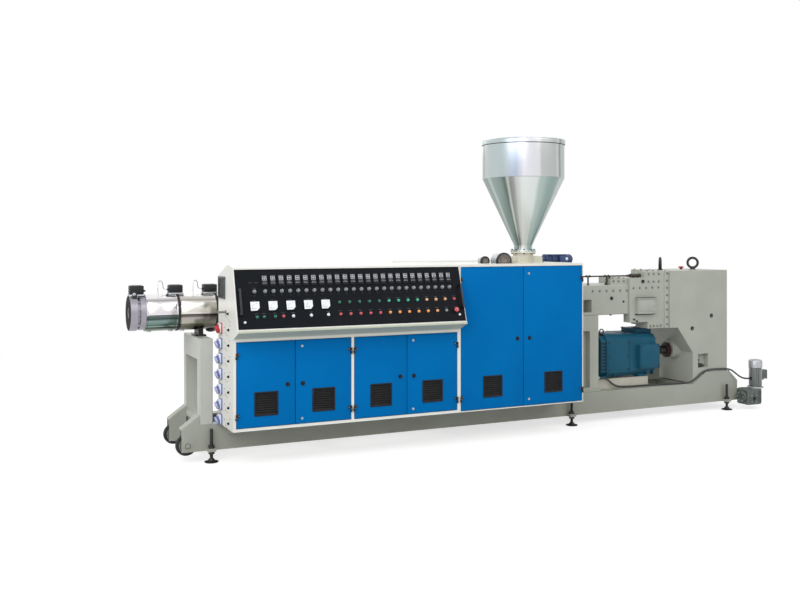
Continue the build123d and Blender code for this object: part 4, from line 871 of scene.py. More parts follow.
whites, flanges, collars, lids = [], [], [], []
for z in sockets["levels"]:
    flange, shroud, collar, lid = makeSocket(z)
    whites.append(shroud)
    flanges.append(flange)
    collars.append(collar)
    lids.append(lid)
finish(whites, "socket_shrouds", "whiteSocketPlastic", replaces="power_sockets")
finish(flanges[1:] + collars[1:], "socket_collars", "blueSocketPlastic")
finish(sum(lids[1:], []), "socket_lids", "paleBlueSocketLid")
finish([flanges[0], collars[0]] + lids[0], "main_socket", "redSocketPlastic")
# grey stop rod that stands out of the side plate over the sockets
rod = [(0, 0), (16, 0), (16, 3), (9, 5), (9, 54), (11, 56), (11, 66), (9, 68), (0, 68)]
rod = turnRound(rod, (-2560, -400, 1190), left, 20)
finish([rod], "side_stop_rod", "overpaintedBolt")
# breaker knobs and small screws beside each socket
knob = turnRound([(0, 0), (11, 0), (11, 4), (8, 6), (7, 14), (5, 15), (0, 15)], steps=20)
spots = [(-2560, -487, z + 2) for z in sockets["levels"]] + [(-2560, -470, 1180)]
finish(placeCopies(knob, spots, left), "breaker_knobs", "blackMouldedCase")
offsets = ((-430, -42), (-395, -30), (-520, 40), (-350, 12))
spots = [(-2560, y, z + dz) for z in sockets["levels"] for y, dz in offsets]
spots += [(-2560, y, 1120 + 14 * i) for i, y in enumerate((-520, -480, -430, -390))]
finish(placeCopies(addSlotScrew(5, 2.4), spots, left), "side_screws", "blackenedSteel")
print("left side made")

barrelPlace, lying = (0.0, axisY, barrelZ), (0, pi / 2, 0)
# painted reflection: the near side runs from bright lilac-white above to deep green below a sharp line
nearCoverPaintedReflection = {
    0.0: "#B9B6B6", 0.05: "#A7A6A7", 0.082: "#C8C7C8", 0.1: "#F6F5F6", 0.12: "#C2BFC0", 0.137: "#A6A3A3",
    0.152: "#D8D5D7", 0.17: "#E6E2E6", 0.262: "#E6E2E6", 0.27: "#636C6A", 0.3: "#3F4E4B", 0.316: "#7E918D",
    0.35: "#66807A", 0.363: "#4A5E57", 0.374: "#9AABA5", 0.386: "#3A4841", 0.43: "#6C786D", 0.5: "#8B938F",
    0.7: "#DCDADE", 0.85: "#D2D0D2", 1.0: "#B9B6B6",
}
# the sheets behind it get a painted reflection of the brown-grey cabinet end instead
rearCoverPaintedReflection = {
    0.0: "#B5B1AC", 0.05: "#BDBBBA", 0.09: "#D9D6D2", 0.115: "#C5C2BE", 0.14: "#A5A19A", 0.158: "#D3CFC8",
    0.19: "#ECE9E3", 0.235: "#DAD6CE", 0.26: "#E2DFD9", 0.27: "#4E4A46", 0.285: "#6C6862", 0.3: "#A9A59D",
    0.345: "#ABA89E", 0.365: "#6B695D", 0.41: "#5F5E51", 0.45: "#45443D", 0.5: "#77756B", 0.7: "#CFCDC8",
    0.85: "#C9C6C2", 1.0: "#B5B1AC",
}
# stainless cover sheets, rolled and polished: painted reflection bands, faint roller quilting
makePolishedWithPaintedReflection("polishedCoverSheetPaintedReflection", barrelPlace, lying, nearCoverPaintedReflection, 3.0, 0.2)
makePolishedWithPaintedReflection("dulledCoverSheetPaintedReflection", barrelPlace, lying, rearCoverPaintedReflection, 3.0, 0.26)
# turned and ground nitrided steel: lilac-grey with fine rings
makeTurned("groundFlangeSteel", "#A9A6AE", "#8C8993", barrelPlace, lying, 1.6, 0.34, 0.9)

barrel = {
    "dieX": -3225.0,
    "flange": (143.0, 60.0),
    "neck": (118.0, 15.0),
    "ring": (138.0, 40.0),
    "core": 140.0,
    "endX": 665.0,
    "bore": (40.0, 90.0),
    "tapped": (8, 118.0),
    "bolts": (12, 130.0),
}
x, core, endX = barrel["dieX"], barrel["core"], barrel["endX"]
(flange, thick), (neck, gap) = barrel["flange"], barrel["neck"]
(ring, wide), (bore, deep) = barrel["ring"], barrel["bore"]
flangeX = x + thick
ringX = flangeX + gap
coreX = ringX + wide
turned = turnRound(
    [
        (0, x + deep), (bore, x + deep), (bore, x + 6), (bore + 3, x + 3), (137, x + 3), (137, x),
        (flange - 3, x), (flange, x + 3), (flange, flangeX - 4), (flange - 4, flangeX), (neck, flangeX),
        (neck, ringX), (ring - 4, ringX), (ring, ringX + 4), (ring, coreX), (core, coreX), (core, endX),
        (0, endX),
    ],
    barrelPlace, right, 96,
)


def addTappedHoles():
    spots = [(barrel["dieX"], axisY + a, barrelZ + b) for a, b in circle(*barrel["tapped"])]
    return [addRod(8, 60, spot, lying, 20) for spot in spots]


cutAway(turned, addTappedHoles())
finish([turned], "barrel_turned", "groundFlangeSteel", replaces="barrel")
# hexagon bolts between flange and ring
bolts = [(flangeX, axisY + a, barrelZ + b) for a, b in circle(*barrel["bolts"], pi / 12)]
finish(placeCopies(addHexBolt(7.5, 10, False), bolts, right), "flange_bolts", "zincPlate")
# dark ring on the face that the die seals on: painted shade
seal = [(44, 0.6), (60, 0.2), (62, 2), (80, 2), (82, 0.2), (135.6, 0.2), (136.6, 1.2), (136.6, 3.1)]
seal = turnRound(seal + [(44, 3.1)], (x, axisY, barrelZ), right, 72, closed=True)
finish([cutAway(seal, addTappedHoles())], "die_seal_face_painted_shade", "dieFacePaintedShade")

covers = {
    "inner": 140.3,
    "outer": 150.2,
    "pitch": 688.25,
    "spans": [(-3105.0, -2855.0), (-2843.0, -2490.0)],
    "strap": (-2859.0, -2839.0, 154.2),
    "buckle": 62.0,
}
covers["spans"] += [(start, start + 676.25) for start in row(-2478.0, covers["pitch"], 4)]
sheets, seams, tabs = [], [], []
r, low = covers["outer"], covers["inner"]
for x0, x1 in covers["spans"]:
    # rolled sheet with a beaded rim at each end
    rim = [(low, 0), (r - 3, 0), (r, 3), (r, 9), (r - 3, 12), (r - 3, 15), (r - 1, 18)]
    outline = [(a, x0 + b) for a, b in rim] + [(a, x1 - b) for a, b in reversed(rim)]
    sheets.append(turnRound(outline, barrelPlace, right, 96, closed=True))
    # dark joint of the two half shells, front and back, and small feet under them
    for y in (axisY - (r - 1), axisY + (r - 1)):
        seams.append(addBlock((x0 + 14, y - 1.6, barrelZ - 17), (x1 - 14, y + 1.6, barrelZ - 13), 0.6))
    for foot in (x0 + 34, x1 - 46):
        low0, high0 = (foot - 16, axisY - 46, barrelZ - r - 3), (foot + 16, axisY - 14, barrelZ - r + 14)
        tabs.append(addBlock(low0, high0, 2))
finish(sheets[:1], "front_cover_sheet", "polishedCoverSheetPaintedReflection", replaces="barrel_covers")
finish(sheets[1:], "rear_cover_sheets", "dulledCoverSheetPaintedReflection")
finish(seams, "cover_joints", "blackPowderCoat")
finish(tabs, "cover_feet", "zincPlate")
s0, s1, sr = covers["strap"]
strap = [(150.3, s0), (sr - 1, s0), (sr, s0 + 1), (sr, s1 - 1), (sr - 1, s1), (150.3, s1)]
# a second, plain band closes the cover where it enters the console
band = [(150.3, -2547), (153, -2547), (154, -2546), (154, -2531), (153, -2530), (150.3, -2530)]
strap, band = (turnRound(outline, barrelPlace, right, 96, closed=True) for outline in (strap, band))
lug = addBlock((s0 - 2, -14, sr - 6), (s1 + 2, 14, sr + 12), 2)
shift(lug, barrelPlace, radians(covers["buckle"]), "X")
finish([strap, lug, band], "cover_strap", "blackenedSteel")

heaters = {
    "x": [-3223.0, -2915.0, -2635.0] + row(-2197.875, covers["pitch"], 4),
    "length": 116.0,
    "top": barrelZ + 225.0,
    "radius": (143.2, 143.3),  # under the first box, and the cutter for its foot
    "coverRadius": 150.6,
}
boxes, pads, glands = [], [], []
top, length = heaters["top"], heaters["length"]
for i, x0 in enumerate(heaters["x"]):
    reach, cut = (heaters["coverRadius"],) * 2 if i else heaters["radius"]
    low, x1, middle = barrelZ + reach - 8, x0 + length, x0 + length / 2
    box = addBlock((x0 + 4, axisY - 42, low + 12), (x1 - 4, axisY + 42, top), 4)
    # arched lid: the long upper edges are rounded and the crown falls away towards both ends
    insetFaces(box, lambda p, n: n.z > 0.95, (9, 0), (2, -2.5))
    for vertex in box.data.vertices:
        if vertex.co.z > top - 12:
            vertex.co.z -= 11 * ((vertex.co.x - middle) / (length / 2)) ** 2
    boxes.append(box)
    for y in (axisY - 42, axisY + 42):
        boxes.append(addBlock((x0 + 10, y - 1.5, low + 24), (x1 - 10, y + 1.5, top - 26), 1))
    pad = addBlock((x0, axisY - 46, low - 14), (x1, axisY + 46, low + 13), 3)
    pads.append(cutAway(pad, [addRod(cut, 400, (middle, axisY, barrelZ), lying, 96)]))
    # the first box has no room at its left, so its gland sits on the right
    gland = [(0, -2), (9, -2), (9, 8), (7.4, 10), (7, 15), (5, 17), (0, 17)]
    glandX, way = (x0 + 4.5, left) if i else (x1 - 4.5, right)
    glands.append(turnRound(gland, (glandX, axisY - 20, low + 40), way, 14))
finish(boxes, "heater_box_lids", "blackPowderCoat", replaces="heater_boxes")
finish(pads, "heater_box_pads", "zincPlate")
finish(glands, "heater_glands", "blackenedSteel")
# bracket of the first heater box: it hangs down over the flange, with a white grommet
bracket = shift(addPlate(36, 8, -34, 34, 3), (-3186, axisY - 66, barrelZ + 146), radians(-28), "X")
finish([bracket], "heater_bracket", "blackPowderCoat")
grommet = [(6, 3), (10, 3), (11, 5), (10, 7), (6, 7)]
grommet = turnRound(grommet, (-3190, axisY - 64, barrelZ + 150), (0, -0.88, 0.47), 24, closed=True)
finish([grommet], "heater_grommet", "whiteInstrumentFace")
# round sump under the second cover, behind the trestle
sump = [(0, 0), (26, 0), (46, 10), (56, 28), (58, 48), (54, 72), (40, 90), (20, 98), (0, 98)]
sump = turnRound(sump, (-2612, axisY, barrelZ - 118), right, 40)
finish([sump], "barrel_sump", "bluedPipe")
# channel across the trestle, under its top plate
channel = [(-2722, 893, 897), (-2722, 918, 922), (-2706, 893, 922)]
channel = [addBlock((x0, -105, low), (-2702, 240, high), 1) for x0, low, high in channel]
finish(channel, "trestle_channel", "enamelledPlate")
# thermocouple tubes: a loop out of a box's left side and down into the cover
loop = (
    (-8, -20, 183), (-32, -20, 184), (-44, -26, 200), (-48, -36, 238), (-64, -46, 256),
    (-84, -54, 250), (-92, -62, 222), (-92, -70, 165), (-92, -76, 128),
)
tubes = [
    bendTube([(x0 + a, axisY + b, barrelZ + c) for a, b, c in loop], 3.2) for x0 in heaters["x"][1:3]
]
finish(tubes, "thermocouple_tubes", "zincPlate")
print("barrel made")

hopper = {
    "x": 462.0,
    "flange": (1640.0, 120.0, 16.0),
    "bolts": (8, 104.0, 0.3),
    "neck": (86.0, 1700.0),
    "radius": 391.0,
    "coneTop": 2338.0,
    "rim": 2688.0,
    "wall": 5.0,
    "lidRadius": 399.3,
    "lidTop": 2700.0,
    "lidSkirt": 33.0,
}
hx, radius, coneTop, rim, wall = (hopper[key] for key in ("x", "radius", "coneTop", "rim", "wall"))
hopperPlace = (hx, axisY, 0.0)
# cone, painted reflection: grey-green flanks with bright streaks, one broad bright band towards the operator
conePaintedReflection = {
    0.0: "#C9CFCC", 0.12: "#DDE2DF", 0.2: "#AEB8B4", 0.25: "#A9B3AF", 0.285: "#87958F", 0.325: "#8F9E99",
    0.345: "#B7C2BF", 0.362: "#93A29E", 0.4: "#8A9A96", 0.424: "#7C8C87", 0.4345: "#D6DCDB", 0.446: "#9A9B9B",
    0.458: "#A3A3A3", 0.474: "#C6C9C9", 0.5: "#D9DDDB", 0.55: "#D2D8D5", 0.575: "#A9B7B3", 0.625: "#8DA19D",
    0.655: "#93A5A1", 0.675: "#BAC5C2", 0.75: "#9FAAA6", 1.0: "#C9CFCC",
}
# straight wall, painted reflection: cool grey, a faint blue band, lilac-white in the middle, dark line near
# the right edge
wallPaintedReflection = {
    0.0: "#C5CBCA", 0.2: "#C9CFCE", 0.28: "#D3D9D8", 0.305: "#97A09E", 0.32: "#C2CAC9", 0.38: "#BCC7C8",
    0.43: "#B7C4C7", 0.447: "#B4BECB", 0.472: "#ABB5C6", 0.492: "#C6CBD5", 0.503: "#DFDFE5", 0.56: "#DCDCE1",
    0.575: "#BDC0BF", 0.637: "#B6BAB8", 0.652: "#C6CBC8", 0.666: "#8A958F", 0.68: "#B3BCB6", 0.72: "#A9B1AD",
    0.8: "#C4CAC8", 1.0: "#C5CBCA",
}
# polished stainless sheet, rolled: painted reflection bands down the cone, faint quilting
seamTurn = (0, 0, radians(-122.7))
makePolishedWithPaintedReflection("polishedHopperSheetPaintedReflection", hopperPlace, seamTurn, conePaintedReflection, 4.0, 0.3, (coneTop + 2, wallPaintedReflection))
bottom, flangeRadius, thick = hopper["flange"]
neck, coneBottom = hopper["neck"]
shell = [
    (neck - wall, bottom), (flangeRadius, bottom), (flangeRadius, bottom + thick), (neck + 4, bottom + thick),
    (neck, bottom + thick + 4), (neck, coneBottom - 4), (neck + 2, coneBottom + 2), (radius - 3, coneTop - 4),
    (radius, coneTop + 4), (radius, rim - 2), (radius - 2, rim), (radius - wall, rim),
    (radius - wall, coneTop), (neck - wall, coneBottom),
]
shell, sheet = turnRound(shell, hopperPlace, up, 128, closed=True), "polishedHopperSheetPaintedReflection"
finish([shell], "hopper_rolled_shell", sheet, smooth=25, replaces="hopper_shell")
lidRadius, lidTop, skirt = hopper["lidRadius"], hopper["lidTop"], rim - hopper["lidSkirt"]
lid = [
    (0, rim + 2), (radius + 0.5, rim + 2), (radius + 0.5, skirt), (lidRadius - 1, skirt),
    (lidRadius, skirt + 2), (lidRadius, rim - 8), (lidRadius - 2, rim - 4), (lidRadius - 2, rim + 2),
    (lidRadius, rim + 5), (lidRadius - 3, lidTop - 2), (lidRadius - 12, lidTop), (lidRadius - 26, lidTop),
    (lidRadius - 30, lidTop - 5), (60, lidTop - 5), (54, lidTop - 1), (0, lidTop - 1),
]
lid = turnRound(lid, hopperPlace, up, 128)
finish([lid], "hopper_pressed_lid", sheet, smooth=25, replaces="hopper_lid")
# dark sealing lip that shows under the lid's skirt
lip = [(radius + 0.3, rim - 39), (radius + 4, rim - 38), (radius + 4, rim - 32), (radius + 0.3, rim - 31)]
lip = turnRound(lip, hopperPlace, up, 96, closed=True)
finish([lip], "hopper_lid_seal", "blackenedSteel")
# weld seams: one round the shoulder, one down the back
shoulder = [(radius - 2, coneTop - 3), (radius + 1.2, coneTop), (radius - 1, coneTop + 3)]
shoulder = turnRound(shoulder, hopperPlace, up, 128, closed=True)
low, high = (hx - 3, axisY + radius - 2, coneTop + 6), (hx + 3, axisY + radius + 1.4, skirt - 2)
finish([shoulder, addBlock(low, high, 1.0)], "hopper_weld_seams", "zincPlate")
bolts = []
for z, way in ((bottom + thick, up), (bottom - thick, down)):
    spots = [(hx + a, axisY + b, z) for a, b in circle(*hopper["bolts"])]
    bolts += placeCopies(addHexBolt(8, 8), spots, way)
finish(bolts, "hopper_flange_bolts", "blackenedSteel")
# feeder: inspection lid on its front, end plates, cap screws
plates = [
    addBlock((hx - 168, axisY - 66, 1542), (hx - 108, axisY - 60, 1588), 2),
    addBlock((hx - 188.5, axisY - 56, 1532), (hx - 180, axisY + 56, 1590), 2),
    addBlock((hx + 174, axisY - 56, 1532), (hx + 182, axisY + 56, 1590), 2),
]
finish(plates, "feeder_plates", "creamEnamel")
spots = [(hx - 168 + dx, axisY - 66, z) for dx in (7, 53) for z in (1548, 1582)]
finish(placeCopies(addCapScrew(4, 4), spots, front), "feeder_screws", "zincPlate")

blowers = {
    "z": 1552.0,
    # how far left of the hopper, radius, front and back from its axis
    "places": ((287, 80, -130, 20), (432, 46, -30, 70)),
}
rims, inlets, drums = [], [], []


def makeBlower(setback, r, near, far):
    # round motor and fan: dark rim, dusty mesh with a hub, finned body behind
    spot, deep = (hx - setback, axisY + near, blowers["z"]), far - near
    rim = [(r - 11, 0), (r - 8, -1), (r - 3, 0), (r, 4), (r, 24), (r - 6, 28), (r - 12, 28), (r - 12, 6)]
    rim = turnRound(rim, spot, back, 48, closed=True)
    body = [(0, 28), (r - 8, 28), (r - 9, deep - 12), (r - 20, deep), (0, deep)]
    body = turnRound(body, spot, back, 40)
    plate = [(0, 4), (r * 0.32, 4), (r * 0.34, 8), (r - 11.5, 9), (r - 11.5, 14), (0, 14)]
    inlet = [turnRound(plate, spot, back, 48)]
    for k in range(4):
        spoke = addBlock((-3, 1, r * 0.25), (3, 5, r - 10), 1)
        inlet.append(shift(spoke, spot, pi / 4 + k * pi / 2, "Y"))
    for wire in (r * 0.48, r * 0.65, r * 0.82):
        if wire < r - 10:
            hoop = [(wire - 1.5, 3), (wire + 1.5, 3), (wire + 1.5, 6), (wire - 1.5, 6)]
            inlet.append(turnRound(hoop, spot, back, 40, closed=True))
    for piece in [rim, body] + inlet:
        # everything below the roof is cut off flat
        pickOnly([piece])
        bpy.ops.object.mode_set(mode="EDIT")
        bpy.ops.mesh.select_all(action="SELECT")
        bpy.ops.mesh.bisect(plane_co=(0, 0, cabinetRoof + 0.2), plane_no=up, clear_inner=True, use_fill=True)
        bpy.ops.object.mode_set(mode="OBJECT")
    rims.append(rim)
    drums.append(body)
    inlets.extend(piece for piece in inlet if len(piece.data.polygons))


for place in blowers["places"]:
    makeBlower(*place)
rims.append(addBlock((hx - 350, axisY - 100, 1530.2), (hx - 224, axisY - 10, 1536), 1.5))
finish(drums, "blower_bodies", "dieCastAluminium", replaces="cooling_blowers")
finish(rims, "blower_rims", "blackPowderCoat")
finish(inlets, "blower_inlets", "dustyBlowerPlate")

feederMotor = {"x": (642.0, 712.0, 942.0, 1012.0), "z": 1563.0, "body": 42.0, "fin": 48.0, "fins": 26}
(x0, x1, x2, x3), z, body, fin = (feederMotor[key] for key in ("x", "z", "body", "fin"))
place = (0, axisY, z)
navy = [
    turnRound(outline, place, right, 40)
    for outline in (
        [(0, x0), (32, x0), (32, x1 - 14), (36, x1 - 12), (48, x1 - 12), (50, x1 - 10), (50, x1), (0, x1)],
        [(0, x1), (body, x1), (body, x2), (0, x2)],
        [(0, x2), (fin, x2), (fin, x3 - 16), (fin - 5, x3 - 6), (fin - 14, x3 - 1), (0, x3 - 1)],
    )
]
bead = [(fin - 1, x2 - 6), (fin + 0.6, x2 - 4), (fin + 0.6, x2 + 2), (fin - 1, x2 + 4)]
navy.append(turnRound(bead, place, right, 40, closed=True))
for k in range(feederMotor["fins"]):
    rib = addBlock((x1 + 6, -1.3, body - 2), (x2 - 8, 1.3, fin), 0.7)
    navy.append(shift(rib, place, 2 * pi * (k + 0.5) / feederMotor["fins"], "X"))
# terminal box on the near side, by the cowl, and the clamp round the body
navy += [
    addBlock((x2 - 96, axisY - 66, z - 26), (x2 - 6, axisY - 36, z + 30), 4),
    addBlock((x2 - 100, axisY - 70, z - 30), (x2 - 2, axisY - 65, z + 34), 2.5),
    addBlock((x1 + 60, axisY - 51, z - 20), (x1 + 72, axisY + 51, z + 48), 2),
]
finish(navy, "feeder_motor_body", "navyMotorEnamel", replaces="feeder_motor")
plug = [(0, 0), (15, 0), (15, 3), (12, 6), (9, 6), (8.4, 9), (0, 9)]
plug = turnRound(plug, (x2 - 24, axisY - 70, z + 4), front, 24)
finish([plug], "feeder_motor_plug", "whiteInstrumentFace")
slots = []
for r in row(12, 6, 5):
    slot = [(r - 1.2, x3 - 1.2), (r + 1.2, x3 - 1.2), (r + 1.2, x3 - 0.1), (r - 1.2, x3 - 0.1)]
    slots.append(turnRound(slot, place, right, 32, closed=True))
finish(slots, "feeder_cowl_grille", "blackPowderCoat")
print("hopper, feeder and blowers made")

housing = {"frontY": -162.5, "bottom": 1020.0, "top": 1310.0, "coverTop": 1370.0}
gear = {"frontY": -182.5, "stripY": -197.5, "casingY": -210.5, "top": 1440.0, "bodyTop": 1375.0}
houseY, gearY, casingY = housing["frontY"], gear["frontY"], gear["casingY"]
# rows of bolts on the front: first x, pitch, number, y, height
frontRows = (
    (1108, 82, 6, houseY, 1254),
    (1366, 62, 3, houseY + 14, 1345),
    (1585, 78, 5, gearY, 1276),
    (1772, 64, 3, gearY, 1336),
    (1772, 64, 3, gearY, 1412),
)
frontSpots = [(x, y, z) for start, step, count, y, z in frontRows for x in row(start, step, count)]
frontSpots += [(1995, gear["stripY"], z) for z in row(905, 73, 8)]
frontSpots += [(x, gearY, 892) for x in row(1795, 44, 4)]
frontSpots += [(700, houseY, z) for z in (1048, 1120, 1210, 1282)]
# behind, the cover, the step and the shelf stop short, so their rows are left out
backSpots = [
    (x, 2 * axisY - y, z)
    for x, y, z in frontSpots
    if z < 1310 and z != 892 or 1320 < z < 1340 or x == 1995
]
topSpots = [
    (x, y, z)
    for start, step, places, z in (
        (1365, 70, (-128, -62), housing["coverTop"]),
        (1765, 76, (-160, -82), gear["top"]),
        (1765, 76, (20, 295), gear["bodyTop"]),
        (1575, 50, (-160, 295), gear["bodyTop"]),
    )
    for x in row(start, step, 3)
    for y in places
]
topSpots += [(1995, y, gear["top"]) for y in (-170, -70, 67.5, 205, 305)]
bolts = []
for spots, way in ((frontSpots, front), (backSpots, back), (topSpots, up)):
    bolts += placeCopies(addHexBolt(9, 8), spots, way)
finish(bolts, "gearbox_bolts", "overpaintedBolt")

# screw plugs, level glass and small fittings on the castings
plugs = placeCopies(addHexBolt(14, 12), [(1333, houseY, 1180)], front)
plugs += placeCopies(addHexBolt(8, 9), [(1478, houseY, 1144)], front)
plugs += placeCopies(addHexBolt(9, 12, False), [(1590, gearY, 965), (1625, gearY, 948)], front)
plugs += placeCopies(addHexBolt(13, 16), [(1400, -60, housing["bottom"])], down)
for x, z in ((2565, 973), (2311, 851)):
    collar = [(13, 0), (21, 0), (21, 2.5), (19, 4), (13, 4)]
    plugs.append(turnRound(collar, (x, casingY, z), front, 28, closed=True))
    plug = [(0, -14), (13.4, -14), (13.4, -6), (5, -6), (5, -4), (0, -4)]
    plugs.append(turnRound(plug, (x, casingY, z), front, 20))
glass = [(0, 0), (17, 0), (17, 8), (12, 10), (12, 6), (0, 6)]
plugs.append(turnRound(glass, (1700, gearY, 1340), front, 24))
finish(plugs, "casing_plugs", "blackenedSteel")

# drain valve in the pocket of the casing, and a cable entry beside it
pocket = [addBlock((2392, casingY + 4, 452), (2448, casingY + 40, 486), 4)]
pocket += placeCopies(addHexBolt(12, 26), [(2465, casingY + 36, 466)], front)
pocket.append(turnRound([(0, 0), (9, 0), (9, 30), (0, 30)], (2415, casingY + 48, 520), front, 16))
finish(pocket, "pocket_fittings", "blackenedSteel")
backY = 2 * axisY - casingY
pocket = addBlock((2390, backY - 42, 455), (2480, backY - 6, 500), 4)
finish([pocket], "back_pocket_fitting", "blackenedSteel")

# inspection cover: raised lid with a gasket line and cap screws
spots = [(1615 + dx, -222.5, 1020 + dz) for dx in (14, 206) for dz in (14, 75, 136)]
finish(placeCopies(addCapScrew(6, 5), spots, front), "inspection_screws", "zincPlate")
panel = addBlock((1636, -225.5, 1040), (1814, -221.5, 1150), 2)
finish([panel], "inspection_panel", "enamelledCastingPaintedLight")
# black strips: the lower one a gasket line darkened as painted shadow of the cover, the upper one painted
# shade in the slot over the cover
gasketAndShadowStrips = [
    addBlock((1600, -186, 1008), (1850, -182, 1019), 1.5),
    addBlock((1609, -227, 1177.5), (1841, -184, 1182), 1),
]
finish(gasketAndShadowStrips, "inspection_gasket_and_painted_shadow", "blackPowderCoat")

# red breather cap behind the lifting eyes
spot = (2555, 225, gear["top"])
stub = turnRound([(0, 0), (16, 0), (16, 8), (12, 10), (12, 14), (0, 14)], spot, up, 20)
cap = turnRound([(0, 12), (26, 12), (28, 16), (27, 24), (20, 29), (0, 30)], spot, up, 28)
finish([stub], "breather_neck", "blackenedSteel")
finish([cap], "breather_cap", "redSocketPlastic")


def addEye(radius, rod, place, turn, segments):
    # an upright ring, thicker at its foot where it is a forged one
    bpy.ops.mesh.primitive_torus_add(
        major_radius=radius, minor_radius=rod, major_segments=segments[0], minor_segments=segments[1]
    )
    ring = bpy.context.object
    for vertex in ring.data.vertices:
        vertex.co.z *= 1 + segments[2] * max(0.0, -vertex.co.y / radius)
    ring.data.transform(Matrix.Rotation(pi / 2, 4, "X"))
    return shift(ring, place, radians(turn))


# forged lifting eyes, a quarter turn to each other
eyes = {"spots": ((2135.0, 45.0), (2571.0, -45.0)), "radius": 51.0, "rod": 12.8, "stem": 20.0}
foot = [(0, 0), (31, 0), (31, 4), (27, 7), (21, 9), (18, 16), (17, 26), (0, 30)]
forged = []
for x, turn in eyes["spots"]:
    place = (x, axisY, gear["top"] + eyes["stem"] + eyes["radius"])
    forged.append(addEye(eyes["radius"], eyes["rod"], place, turn, (56, 20, 0.25)))
    forged.append(turnRound(foot, (x, axisY, gear["top"]), up, 32))
finish(forged, "lifting_eyes_forged", "blackenedSteel", smooth=50, replaces="lifting_eyes")

# oil pipe: drawn tube on T posts, with clamps and the cylinder's fittings
pipe = {"y": -102.5, "z": 1395.0, "start": 915.0, "cylinder": (1605.0, 1730.0), "posts": (1097.0, 1320.0)}
y, z, start, (cylinder, end) = (pipe[key] for key in ("y", "z", "start", "cylinder"))
length, reach = end - cylinder, cylinder - start
run = [
    turnRound([(0, 0), (7, 0), (7, reach), (0, reach)], (start, y, z), right, 20),
    turnRound([(0, 0), (11, 0), (11, 22), (7, 24), (0, 24)], (start, y, z), right, 6),
    turnRound([(0, 0), (11, 0), (11, 20), (7, 22), (0, 22)], (cylinder - 40, y, z), right, 6),
]
jacket = [(0, -16), (13, -16), (13, 0), (19, 2), (20, 6), (20, 22), (18, 24), (18, 40), (20, 42)]
jacket += [(20, length - 44), (18, length - 42), (18, length - 26), (20, length - 24), (20, length - 4)]
run.append(turnRound(jacket + [(18, length), (0, length)], (cylinder, y, z), right, 28))
run.append(addBlock((1640, y - 24, 1372), (1700, y + 24, 1380), 2))
post = [(0, 0), (16, 0), (16, 5), (8, 8), (8, 76), (11, 78), (0, 80)]
for x in pipe["posts"]:
    run.append(turnRound(post, (x, y, housing["top"]), up, 20))
    run.append(addBlock((x - 32, y - 9, z - 9), (x + 32, y + 9, z + 9), 4))
    for dx in (-20, 20):
        run.append(turnRound([(0, 0), (7, 0), (7, 6), (0, 6)], (x + dx, y, z + 8), up, 6))
finish(run, "oil_pipe_fittings", "bluedPipe", replaces="oil_pipe")
nipples = (
    ([(0, 0), (12, 0), (12, 14), (8, 18), (8, 26), (5, 30), (0, 30)], (1300, -118, housing["top"])),
    ([(0, 0), (10, 0), (10, 12), (6, 14), (6, 22), (0, 22)], (1372, -80, housing["coverTop"])),
)
nipples = [turnRound(outline, spot, up, 16) for outline, spot in nipples]
finish(nipples, "oil_nipples", "blackenedSteel")
print("gearboxes made")

motor = {
    "x": (1235.0, 1295.0, 1855.0, 1915.0),
    "frontY": -137.5,
    "half": 205.0,
    "top": 815.0,
    "axisZ": 612.0,
    "terminal": (1665.0, 470.0, 710.0, -183.5),
}
(x0, x1, x2, x3), half, top, axisZ = (motor[key] for key in ("x", "half", "top", "axisZ"))
tx, tz0, tz1, ty = motor["terminal"]
mirrored = (-1, 1)
teal = []
# shallow ribs where the frame's panels meet, and raised cover sheets between them
for x in (x1 + 8, 1575.0, x2 - 8):
    for side in mirrored:
        y = axisY + side * half
        teal.append(addBlock((x - 7, y, 448), (x + 7, y + side * 5, 768), 2))
    teal.append(addBlock((x - 7, axisY - 158, top - 1), (x + 7, axisY + 158, top + 5), 2))
for side in mirrored:
    y = axisY + side * half
    teal.append(addBlock((1312, y, 462), (1565, y + side * 3, 752), 2))
teal.append(addBlock((1318, axisY - 140, top - 1), (1562, axisY + 140, top + 3), 2))
# terminal box lid, top box lid and feet webs
teal.append(addBlock((tx + 8, ty - 4, tz0 + 8), (x3 - 8, ty + 1, tz1 - 8), 2.5))
teal.append(addBlock((1720, axisY - 124, 848), (1919, axisY + 124, 856), 3))
for x in (1355.0, 1835.0):
    for side in mirrored:
        y = axisY + side * 150
        for web in (x - 45, x + 37):
            teal.append(addBlock((web, y, 400), (web + 8, y + side * 45, 445), 1.5))
collar = [(30, 0), (52, 0), (52, 12), (46, 16), (30, 16)]
teal.append(turnRound(collar, (x3, axisY, axisZ), right, 40, closed=True))
shield = [(0, -10), (150, -10), (150, 0), (120, 4), (60, 6), (0, 6)]
teal.append(turnRound(shield, (x0, axisY, axisZ), left, 48))
finish(teal, "motor_panels", "tealMotorEnamel")

# splash sheet behind the motor's right end, standing on the far rail
splash = [addBlock((1862, 258, 289.5), (2290, 261, 408), 1), addBlock((1862, 258, 404), (2290, 272, 408), 1)]
finish(splash, "rear_splash_sheet", "enamelledPlate")

